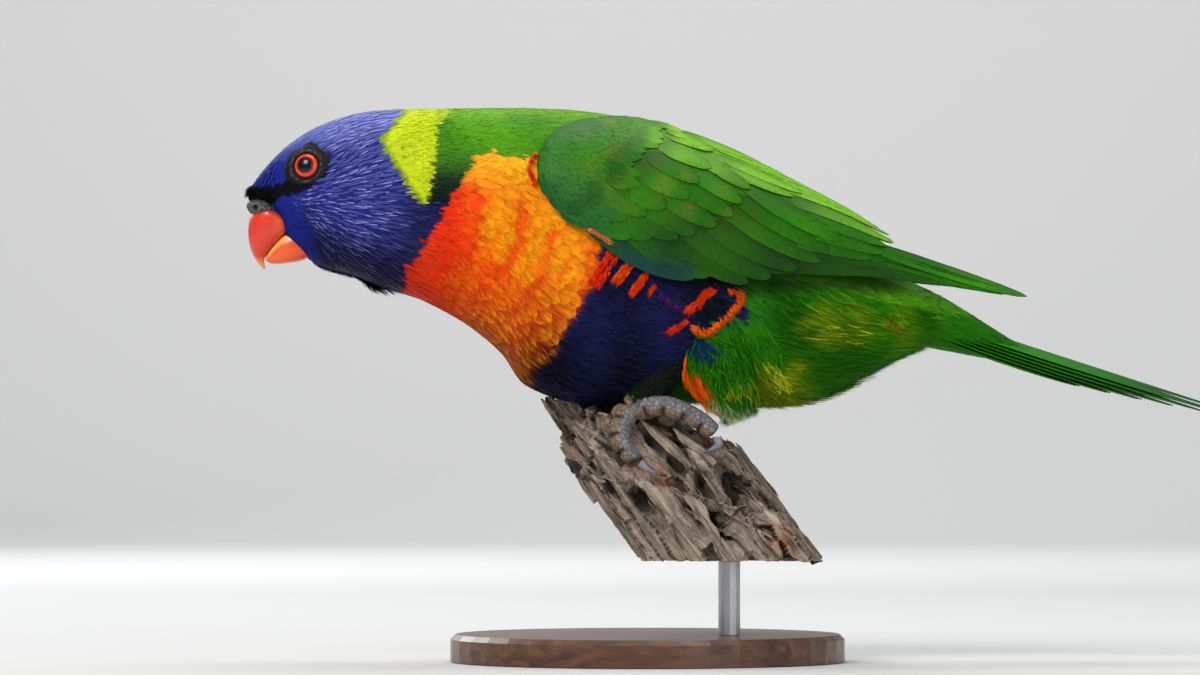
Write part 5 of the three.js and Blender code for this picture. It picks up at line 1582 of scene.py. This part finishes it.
def makeEyes():
    parts, skinTree = eyeParts, built["skin"]
    eyeball = eyeFinish()
    bareSkin = grainy("eyelidSkin", 1500, (0.65, 0.7), (0.5, 0.2), (0.4, 0.0003), 4, SpecularIORLevel=0.22)
    for sideName, side in (("Left", -1), ("Right", 1)):
        centre = Vector((parts["centre"][0], side * parts["centre"][1], parts["centre"][2]))
        look = Vector((parts["look"][0], side * parts["look"][1], parts["look"][2])).normalized()
        facing = look.to_track_quat("Z", "Y").to_matrix().to_4x4()
        made = bmesh.new()
        bmesh.ops.create_uvsphere(made, u_segments=64, v_segments=48, radius=parts["radius"])
        bmesh.ops.transform(made, verts=made.verts, matrix=Matrix.Translation(centre) @ facing)
        put(pieceFrom(made, "eye" + sideName), eyeball, ("eye_" + sideName.lower(),))
        # the bare ring of skin round the eye, wrinkled, and drawn out to a point in front and above
        axis = np.array(look)
        up = unit(np.array([0.0, 0.0, 1.0]) - axis * axis[2])
        front = np.cross(up, axis)
        front = front if front[0] < 0 else -front
        middle = np.array(centre)

        def lidAt(along, turn):
            # along runs round the eye, and turn round the section of the ring
            a, b = along * 2 * math.pi, turn * 2 * math.pi
            flat = front * np.cos(a)[:, None] + up * np.sin(a)[:, None]
            reach, _ = bareReach(middle[0] + flat[:, 0], middle[2] + flat[:, 2])
            inner, outer = parts["opening"], reach + 0.9
            share = 0.5 - 0.5 * np.cos(b)
            radius = mix(inner, outer, share)
            points = middle + flat * radius[:, None]
            rest = np.array([30 - (skinTree.ray_cast(
                Vector(toScene(point + axis * 30)), -look)[3] or 0.03) * 1000 for point in points])
            fold = 0.16 * np.sin(share * 17 + 0.9 * np.sin(3 * a + 1)) + 0.1 * np.sin(31 * a + 6 * share)
            fold = fold * np.sin(np.clip(share, 0, 1) * math.pi) ** 0.7
            rim = math.sqrt(parts["radius"] ** 2 - parts["opening"] ** 2) + 0.12
            proud = mix(0.35, -0.12, smoothStep(share, 0.7, 0.97))
            top = mix(np.full_like(rest, rim), rest + proud, smoothStep(share, 0.0, 0.75)) + fold
            top = top + 0.3 * np.exp(-((share - 0.1) / 0.07) ** 2)
            height = np.where(np.sin(b) >= 0, top, top - 1.2 * np.abs(np.sin(b)))
            return points + axis * height[:, None]

        lid = pieceFrom(ringBody(150, 36, lidAt), "eyelids" + sideName)
        p = cornersOf(lid)
        away = np.linalg.norm(np.cross(p - middle, axis), axis=-1)
        tone = mix(parts["skinPale"], parts["skinTone"], smoothStep(away, 3.75, 4.4)[:, None])
        tone = tone * (0.8 + 0.5 * np.clip(patchy(p, 1.1, 23), -0.6, 1))[:, None]
        # painted shade: the outer edge of the bare ring, under the feathers' edge, goes nearly black
        tone = mix(tone, parts["pupilTone"] * 2.5, smoothStep(away, 5.0, 6.2)[:, None] * 0.75)
        pale = np.exp(-((away - 4.75 - 0.25 * patchy(p, 2.5, 29)) / 0.22) ** 2)
        pale = pale * np.clip(0.6 + patchy(p, 1.6, 33), 0.1, 1)
        tone = mix(tone, parts["wrinkle"], pale[:, None] * 0.75)
        put(tinted(lid, tone), bareSkin)


def ringBody(rings, sides, placeAt):  # a closed ring: both ways round join up
    made = bmesh.new()
    grid = bmesh.ops.create_grid(made, x_segments=rings, y_segments=sides, size=0.5)["verts"]
    share = np.array([vert.co[:2] for vert in grid]) + 0.5
    for vert, corner in zip(grid, np.asarray(placeAt(share[:, 0] % 1.0, share[:, 1] % 1.0)).tolist()):
        vert.co = corner
    bmesh.ops.remove_doubles(made, verts=made.verts, dist=1e-4)
    bmesh.ops.recalc_face_normals(made, faces=made.faces)
    return made


# Feet and claws

footShape = {
    "tarsus": {"path": [(25, 14.6, 22), (19, 14.6, 15.5), (13, 14.2, 9.8), (8.6, 14, 6)],
               "radii": (2.9, 2.9, 2.7, 3.1)},
    "toes": [
        {"name": "front_outer", "pads": 4, "radii": (2.7, 2.0),
         "path": [(9, 14.6, 6), (6.2, 16.8, 1.4), (6.8, 18.6, -4.2), (10.6, 19.4, -8.6)],
         "claw": [(11.6, 19.5, -9.5), (14.6, 19.8, -12), (19.6, 19.2, -13)]},
        {"name": "front_inner", "pads": 3, "radii": (2.6, 1.9),
         "path": [(8.4, 13.4, 5.5), (4.8, 12, 3.2), (1.8, 11, -1.4), (2.0, 10.6, -5.6)],
         "claw": [(2.4, 10.6, -6.8), (3.8, 10.8, -9.6), (6.8, 11.2, -11.4)]},
        {"name": "rear_outer", "pads": 5, "radii": (2.7, 2.0),
         "path": [(9.6, 14.6, 6), (14.6, 16.4, 7.6), (22, 17.6, 6.6), (29, 17.8, 3.2), (33.6, 17.6, -0.6)],
         "claw": [(34.2, 17.6, -1.8), (34.4, 17.6, -4.4), (30.4, 17.4, -6.6)]},
        {"name": "rear_inner", "pads": 2, "radii": (2.4, 1.8),
         "path": [(9.6, 13.2, 6), (14, 10.6, 6.2), (19, 9.2, 4.4), (23, 8.8, 2.8)],
         "claw": [(23.8, 8.8, 2.6), (27, 8.8, 2.2), (29.2, 9, -0.4)]},
    ],
    "clawRadii": (1.45, 1.0, 0.25), "rightAhead": 10, "rightHigher": 2,
    "scale": rgb(132, 130, 132), "pad": rgb(142, 120, 98), "gap": rgb(34, 28, 28),
    "clawTone": rgb(140, 134, 148), "clawTip": rgb(60, 54, 62),
}


def footPath(path, side):
    if side > 0:
        return [(x - footShape["rightAhead"], y, z + footShape["rightHigher"]) for x, y, z in path]
    return [(x, -y, z) for x, y, z in path]


def makeFeet():
    shape = footShape
    skin = Finish("footScales")
    grain = skin.noise(skin.here(), 1600, 3)
    scales = skin.cells(skin.here(), 720, "DISTANCE_TO_EDGE").between(0.0, 0.13)
    skin.set(BaseColor=skin.shade(skin.attribute("tint"), (0.75 + grain * 0.5) * (0.6 + scales * 0.4)),
             Roughness=0.55 + grain * 0.2, Normal=skin.bump(scales + grain * 0.4, 0.8, 0.0003))
    horn = grainy("clawHorn", 700, (0.85, 0.3), (0.3, 0.15), (0.1, 0.0002), CoatWeight=0.3, CoatRoughness=0.15)
    for sideName, side in (("Left", -1), ("Right", 1)):
        made, spans = bmesh.new(), []
        limbs = [{**shape["tarsus"], "pads": 3, "scutes": 9}] + [
            {**toe, "radii": np.interp(np.linspace(0, 1, len(toe["path"])), [0, 1], toe["radii"]),
             "scutes": 3 * toe["pads"] + 1} for toe in shape["toes"]]
        for limb in limbs:
            tube = Tube(footPath(limb["path"], side), limb["radii"])

            def toeAt(along, turn, limb=limb, tube=tube):
                angle = turn * 2 * math.pi
                top = np.cos(angle)
                cell = along * limb["scutes"]
                scute = np.abs(np.sin(cell * math.pi)) ** 0.5
                pad = np.abs(np.sin(along * limb["pads"] * math.pi)) ** 0.6
                ridge = 0.45 + np.where(top > -0.1, 0.16 * (scute - 0.75) * smoothStep(top, -0.1, 0.5),
                                       1.25 * (pad - 0.55) * smoothStep(-top, -0.15, 0.5))
                beads = 0.08 * np.sin(angle * 9) * np.sin(cell * 2 * math.pi)
                beads = beads * smoothStep(-np.abs(top), -0.5, -0.1)
                close = np.sqrt(np.clip(1 - np.clip((along - 0.94) / 0.06, 0, 1) ** 2 * 0.7, 0, 1))
                middle, size, up, left = tube.rings(along)
                radius = (size * close + ridge + beads)[:, None]
                return middle + radius * (up * np.cos(angle)[:, None] + left * np.sin(angle)[:, None])

            first = len(made.verts)
            loftBody(limb["scutes"] * 8, 32, toeAt, made)
            spans.append((first, len(made.verts), limb))
        foot = pieceFrom(made, "foot" + sideName)
        foot.data.uv_layers[0].name = "round"
        uv = np.empty(len(foot.data.loops) * 2, np.float32)
        foot.data.uv_layers[0].data.foreach_get("uv", uv)
        corner = np.empty(len(foot.data.loops), np.int32)
        foot.data.loops.foreach_get("vertex_index", corner)
        turn, share = np.zeros(len(foot.data.vertices)), np.zeros(len(foot.data.vertices))
        turn[corner] = np.cos(uv.reshape(-1, 2)[:, 1] * 2 * math.pi)
        share[corner] = uv.reshape(-1, 2)[:, 0]
        # painted shade: the creases between scutes on top and between pads below are worked out to be painted
        # dark
        crease = np.ones(len(share))
        for first, last, limb in spans:
            on = slice(first, last)
            folds = [np.abs(np.sin(share[on] * limb[key] * math.pi)) for key in ("scutes", "pads")]
            crease[on] = np.where(turn[on] > -0.1, 0.55 + 0.45 * smoothStep(folds[0], 0.05, 0.4),
                                  smoothStep(folds[1], 0.1, 0.6))
        p = cornersOf(foot)
        tone = mix(shape["pad"], shape["scale"], smoothStep(turn, -0.45, 0.1)[:, None])
        # painted shade: dark in the creases
        tone = mix(shape["gap"], tone, (0.25 + 0.75 * crease)[:, None])
        tone = tone * (0.9 + 0.2 * patchy(p, 3.0, 17))[:, None]
        put(tinted(foot, tone), skin, ("foot_" + sideName.lower(),))
        for toe in shape["toes"]:
            tube = Tube(footPath(toe["claw"], side), shape["clawRadii"])

            def clawAt(along, turn, tube=tube):
                middle, size, up, left = tube.rings(along)
                angle = turn * 2 * math.pi
                wide = np.stack([np.cos(angle), 0.8 * np.sin(angle)], -1) * size[:, None]
                return middle + up * wide[:, :1] + left * wide[:, 1:]

            claw = pieceFrom(loftBody(28, 20, clawAt), "claw" + sideName + "".join(
                word.title() for word in toe["name"].split("_")))
            ends = np.array(footPath(toe["claw"], side), float)
            away = np.linalg.norm(cornersOf(claw) - ends[0], axis=-1) / np.linalg.norm(ends[-1] - ends[0])
            tone = mix(shape["clawTone"], shape["clawTip"], smoothStep(away, 0.3, 1.0)[:, None])
            put(tinted(claw, tone), horn, ("claw_" + sideName.lower() + "_" + toe["name"],))


# The perch, cut from a broken limb: its CAD node made finer, weathered along the grain, and splintered

perchLook = {
    "slope": 54, "voxel": 0.6, "pale": rgb(176, 158, 143), "mid": rgb(122, 106, 92), "dark": rgb(40, 32, 28),
    "rot": rgb(172, 92, 46), "plank": (24.0, 3.4, 4.0), "deep": 3.0, "broken": 4.0,
    "splinters": 560, "long": (5, 22), "half": (0.4, 1.3), "tilt": 5,
    "slabs": [  # ends in x and z, half width, how far they stand out
        ((11.2, 3.6), (26.1, -10.0), 1.9, 1.6), ((20.7, 1.1), (33.5, -8.8), 2.1, 1.6),
        ((12.1, -4.6), (22, -12.9), 1.2, 0.8), ((35, -5.5), (40.5, -12), 1.2, 0.6),
        ((-9, 3.6), (-0.3, -4.2), 1.3, 0.8), ((-7, -7), (4, -22), 1.4, 0.6)],
    "fillers": [((9, -3, 6), (31, -3, -8)), ((19, -1, 4), (38, -1, -8))],
    "hollows": [  # x and z, half length along the grain, half width
        (23, -4.8, 6, 1.3), (16.2, -3.2, 5, 1.6), (22, -9.4, 4, 1.4), (-4.4, 5.3, 5, 2.2), (-4, -5.5, 6, 1.4),
        (3, 1.1, 3.5, 2), (31, -15.4, 4, 2.4), (40, -17, 5, 2.6), (2.2, -16.6, 5, 1.6), (11.3, -19.5, 6, 1.8),
        (26, -24, 7, 1.8), (-10.5, -0.5, 5, 1.2), (36, -27, 6, 1.6)],
    "sink": 4.2,  # how deep the hollows are
    "clear": {"root": 3.8, "tip": 3.4},  # how far splinters keep from the toes
}
grainSlope = math.radians(perchLook["slope"])
woodGrain = np.array([-math.cos(grainSlope), 0.0, math.sin(grainSlope)])
woodThrough = np.array([woodGrain[2], 0.0, -woodGrain[0]])


def woodFinish():
    look = perchLook
    finish = Finish("weatheredWood")
    alongGrain = finish.stretched(finish.here(), (1.0, 1.0, 9.0), (0.0, -(math.pi / 2 - grainSlope), 0.0))
    fibres = finish.noise(alongGrain, 1500, 5, 0.65, 0.4)
    bands = finish.noise(alongGrain, 420, 4, 0.6, 0.6)
    stains = finish.noise(finish.here(), 90, 4)
    colour = finish.ramp(fibres * 0.55 + bands * 0.5, [
        (0.3, look["dark"]), (0.44, look["mid"]), (0.6, look["pale"]), (0.85, look["pale"] * 1.25)])
    # the tint's first number is painted light and shade: dark in deep strands, cracks and hollows, light on
    # ridges, with each strand's own tone; the second is the rot
    depth, rot = finish.attribute("tint").part(0), finish.attribute("tint").part(1)
    colour = finish.blend(rot * (0.55 + fibres * 0.6), colour, look["rot"])
    colour = finish.shade(colour, (0.5 + stains * 0.9) * depth * 1.25)
    finish.set(BaseColor=colour, Roughness=0.78 + fibres * 0.15,
               Normal=finish.bump(fibres * 0.6 + bands, 0.8, 0.0009), SpecularIORLevel=0.25)
    return finish


def mixedUp(*numbers):  # an even number from 0 to 1 that these whole numbers settle
    total = sum(n * k for n, k in zip(numbers, (127.1, 311.7, 74.7)))
    return np.modf(np.abs(np.sin(total) * 43758.5453))[0]


def rotShare(points):  # orange-brown rot, in a few soft spots
    return np.clip(1.6 * patchy(points, 21, 81) - 0.75, 0, 1) * np.clip(0.6 + patchy(points, 5, 83), 0, 1)


def toeSpots():
    found = []
    for side in (-1, 1):
        for toe in footShape["toes"]:
            for path in (toe["path"], toe["claw"]):
                found.append(splineThrough(footPath(path, side))(np.linspace(0, 1, 14)))
    return np.concatenate(found)


def awayFrom(spots, points):
    return np.sqrt(np.min([((points - spot) ** 2).sum(-1) for spot in spots], axis=0))


def makePerch():
    look = perchLook
    finish = woodFinish()
    made = bmesh.new()
    made.from_mesh(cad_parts["perch"].data)
    bmesh.ops.remove_doubles(made, verts=made.verts, dist=1e-6)
    mesh = bpy.data.meshes.new("perch")
    made.to_mesh(mesh)
    made.free()
    perch = added("perchWood", mesh)
    remesh = perch.modifiers.new("fine", "REMESH")
    remesh.mode, remesh.voxel_size = "VOXEL", look["voxel"] / 1000
    applied(perch)
    mesh = perch.data
    points = cornersOf(perch)
    normals = np.empty(len(points) * 3, np.float32)
    mesh.vertices.foreach_get("normal", normals)
    normals = normals.reshape(-1, 3).astype(float)
    up, through, y = points @ woodGrain, points @ woodThrough, points[:, 1]
    acrossA = through / look["plank"][1] + 0.5 * patchy(points, 30, 91) + 0.12 * patchy(points, 7, 93)
    acrossB = y / look["plank"][2] + 0.5 * patchy(points, 30, 97) + 0.12 * patchy(points, 7, 99)
    strandA, strandB = np.floor(acrossA), np.floor(acrossB)
    shift = mixedUp(strandA, strandB)
    segment = np.floor(up / look["plank"][0] + 7.3 * shift)
    depth = mixedUp(strandA, strandB, segment)
    depth = np.where(depth > 0.76, 0.72 + depth * 0.28, depth * 0.6)
    hollow = np.zeros(len(points))
    for x, z, half, wide in look["hollows"]:
        offset = points - [x, 0, z]
        across = offset @ woodThrough / wide + 0.25 * patchy(points, 6, 85)
        reach = (offset @ woodGrain / half) ** 2 + across**2
        hollow = np.maximum(hollow, np.exp(-reach**2) * smoothStep(-normals[:, 1], 0.1, 0.5))
    ripple = np.array([noise.fractal(Vector(v), 0.75, 2.1, 4) for v in np.stack(
        [up * 0.06, through * 0.55, y * 0.55], -1).tolist()])
    clear = smoothStep(awayFrom(toeSpots(), points), 2.6, 6.0)
    sawn = np.clip(points[:, 2] - points[:, 2].min() - 0.6, 0, 1)
    seam = np.minimum(np.abs(acrossA - np.round(acrossA)), np.abs(acrossB - np.round(acrossB)))
    crack = (1 - smoothStep(seam, 0.02, 0.13)) * mixedUp(strandB, strandA, 3)
    inward = look["deep"] * depth - 0.5 * ripple + 1.1 * crack + look["sink"] * hollow
    facing = normals @ woodGrain
    broken = smoothStep(facing, 0.45, 0.85)
    move = -normals * (inward * (1 - broken) * (0.25 + 0.75 * clear) * sawn)[:, None]
    move = move + woodGrain * ((shift * 2 - 1.2) * look["broken"] * broken * clear)[:, None]
    mesh.vertices.foreach_set("co", toScene(points + move).astype(np.float32).ravel())
    mesh.update()
    mesh.polygons.foreach_set("use_smooth", np.zeros(len(mesh.polygons), bool))
    # painted shade and light: darker in deep strands, cracks and hollows, lighter on ridges, some broken ends
    # darker, and each strand a tone of its own
    light = np.clip(1.25 - 0.9 * depth + 0.35 * ripple - 0.6 * crack, 0.14, 1.3) * (1 - 0.35 * broken * shift)
    light = light * (0.7 + 0.45 * mixedUp(strandB, strandA, 5)) * (1 - 0.85 * hollow)
    tinted(perch, np.stack([light / 1.3, rotShare(points), np.zeros(len(points))], -1))
    put(perch, finish, ("perch",))
    print("perch has", len(mesh.polygons) * 2, "triangles")
    makeSplinters(perch, finish)


def makeSplinters(perch, finish):
    look = perchLook
    chance = np.random.default_rng(95)
    mesh = perch.data
    centres, normals = (np.empty(len(mesh.polygons) * 3, np.float32) for _ in range(2))
    mesh.polygons.foreach_get("center", centres)
    mesh.polygons.foreach_get("normal", normals)
    centres = centres.reshape(-1, 3).astype(float) * 1000 - birdOrigin
    pick = chance.choice(len(centres), look["splinters"] * 3, replace=False)
    root, normal = centres[pick], normals.reshape(-1, 3).astype(float)[pick]
    onGrain = woodGrain * np.where(chance.random(len(root)) < 0.72, 1.0, -1.0)[:, None]
    flat = unit(onGrain - normal * (onGrain * normal).sum(-1, keepdims=True))
    atEnd = np.abs(normal @ woodGrain) > 0.6
    way = unit(np.where(atEnd[:, None], woodGrain * np.sign(normal @ woodGrain)[:, None], flat))
    tilt = np.radians(look["tilt"]) * chance.random(len(root))[:, None]
    way = unit(way * np.cos(tilt) + normal * np.sin(tilt) + 0.05 * chance.standard_normal((len(root), 3)))
    long = mix(*look["long"], chance.random(len(root)) ** 2.2)
    long = np.where(atEnd, long * 0.5, long)
    tip = root + way * long[:, None]
    toes, margin = toeSpots(), look["clear"]
    clear = ((awayFrom(toes, root) > margin["root"]) & (awayFrom(toes, tip) > margin["tip"])
             & (awayFrom(toes, (root + tip) / 2) > margin["tip"]))
    tree = BVHTree.FromPolygons([vert.co.copy() for vert in mesh.vertices],
                                [list(face.vertices) for face in mesh.polygons])
    loose = np.array([tree.find_nearest(Vector(spot))[3] * 1000 for spot in toScene(tip)])
    low = centres[:, 2].min() + 1.5
    clear &= (loose < np.where(atEnd, 6.0, 1.2)) & (root[:, 2] > low + 1)
    clear &= (tip[:, 2] > low) & (tip[:, 2] < 5.5)
    kept = np.flatnonzero(clear)[:look["splinters"]]
    half = mix(*look["half"], chance.random(len(kept)) ** 1.8) * np.clip(long[kept] / 10, 0.5, 1.2)

    def woodAt(x, z):  # where the wood's left side is
        hit = tree.ray_cast(Vector(toScene([x, -60, z])), Vector((0, 1, 0)))[0]
        return hit.y * 1000 if hit else -12

    # the bigger pieces that stand out between the toes
    slabs = [[(x, woodAt(x, z) - out, z) for x, z in (start, end)] for start, end, _, out in look["slabs"]]
    slabs = np.array(slabs + look["fillers"], float)
    slabWay = slabs[:, 1] - slabs[:, 0]
    root, way = np.concatenate([root[kept], slabs[:, 1]]), np.concatenate([way[kept], -unit(slabWay)])
    long = np.concatenate([long[kept], np.linalg.norm(slabWay, axis=-1)])
    normal = np.concatenate([normal[kept], unit(np.tile([0.25, -0.8, 0.55], (len(slabs), 1)))])
    half = np.concatenate([half, [slab[2] for slab in look["slabs"]], [2.6] * len(look["fillers"])])
    count = len(root)
    t = np.array([0.0, 0.4, 0.75, 1.0])
    side = unit(np.cross(way, normal))
    above = np.cross(side, way)[:, None]
    ragged = 1 + 0.4 * chance.uniform(-1, 1, (count, len(t), 2))
    centre = (root - normal * 0.5 - way * 0.8)[:, None] + way[:, None] * (t * long[:, None])[..., None]
    stray = 0.5 * half[:, None] * t * chance.uniform(-1, 1, (count, len(t)))
    centre = centre + side[:, None] * stray[..., None]
    spread = (half[:, None] * np.array([0.6, 1.0, 0.72, 0.12]))[..., None]
    corners = np.stack([
        centre - side[:, None] * spread * ragged[..., :1], centre + above * spread * 0.7,
        centre + side[:, None] * spread * ragged[..., 1:], centre - above * spread * 0.55], 2)
    # painted light and shade: each splinter's top is lighter and its underside darker, and it grows lighter
    # towards the tip
    pale = (0.62 + 0.3 * t[:, None]) * chance.uniform(0.6, 1.15, (count, 1, 1))
    pale = pale * np.array([0.85, 1.1, 0.9, 0.5])
    rot = np.broadcast_to(rotShare(root)[:, None, None], pale.shape)
    tints = np.stack([np.clip(pale, 0, 1), rot, np.zeros(pale.shape), np.zeros(pale.shape)], -1)
    splinters = meshPiece("perchSplinters", corners, [turnedOut(corners, vaneQuads(count, len(t) - 1))],
                          tints.reshape(-1, 4), smooth=False)
    put(splinters, finish)


# The stand keeps its CAD solids, with a walnut and a brushed steel finish

def makeStand():
    walnut = Finish("standWalnut")
    place = walnut.stretched(walnut.here(), (7.0, 1.0, 1.0))
    rings = walnut.noise(place, 160, 5, 0.6, 1.2)
    pores = walnut.noise(walnut.stretched(walnut.here(), (16.0, 1.0, 1.0)), 1600, 3)
    colour = walnut.ramp(rings, [(0.3, rgb(58, 34, 22)), (0.5, rgb(92, 58, 38)), (0.7, rgb(122, 82, 54))])
    walnut.set(BaseColor=walnut.shade(colour, 0.75 + pores * 0.45), Roughness=0.34 + pores * 0.16,
               Normal=walnut.bump(pores, 0.15, 0.0002), CoatWeight=0.3, CoatRoughness=0.2)
    steel = Finish("rodSteel")
    brushed = steel.noise(steel.stretched(steel.here(), (1.0, 1.0, 14.0)), 2600, 3)
    steel.set(BaseColor=steel.shade(steel.vector(0.52, 0.52, 0.54), 0.85 + brushed * 0.25), Metallic=1.0,
              Roughness=0.28 + brushed * 0.18, Normal=steel.bump(brushed, 0.1, 0.0001))
    for node, finish in (("stand_base", walnut), ("stand_rod_left", steel), ("stand_rod_right", steel)):
        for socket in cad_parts[node].material_slots:
            socket.material = finish.material


def makeFloor():
    # the backdrop is low, so that views from behind look over it
    size = {"wide": 5.0, "front": -2.9, "back": 1.5, "curve": 0.6, "lean": 60}
    low = cadBox[0].z - 0.0002
    made = bmesh.new()
    line = [(size["front"], 0.0), (size["back"], 0.0)]
    line += [(size["back"] + size["curve"] * math.sin(a), size["curve"] * (1 - math.cos(a)))
             for a in np.radians(np.linspace(0, size["lean"], 13)[1:])]
    verts = [made.verts.new((-size["wide"], y, low + z)) for y, z in line]
    edges = [made.edges.new(pair) for pair in zip(verts, verts[1:])]
    grown = bmesh.ops.extrude_edge_only(made, edges=edges)["geom"]
    bmesh.ops.translate(made, verts=[g for g in grown if isinstance(g, bmesh.types.BMVert)],
                        vec=(2 * size["wide"], 0, 0))
    bmesh.ops.recalc_face_normals(made, faces=made.faces)
    mesh = bpy.data.meshes.new("studioFloor")
    made.to_mesh(mesh)
    made.free()
    mesh.polygons.foreach_set("use_smooth", np.ones(len(mesh.polygons), bool))
    floor = added("studioFloor", mesh)
    paper = Finish("studioPaper")
    paper.set(BaseColor=(0.62, 0.62, 0.61), Roughness=0.9, SpecularIORLevel=0.1)
    mesh.materials.append(paper.material)


stages = [
    ("camera", makeCamera), ("lights", makeLights), ("floor", makeFloor), ("skin", makeSkin),
    ("coat", makeCoat),
    ("wings", makeWings), ("tail", makeTail), ("bill", makeBill), ("cere", makeCere), ("eyes", makeEyes),
    ("feet and claws", makeFeet), ("perch", makePerch), ("stand", makeStand),
]
built = {}
for stage, make in stages:
    built[stage] = make()
    print("made the", stage)
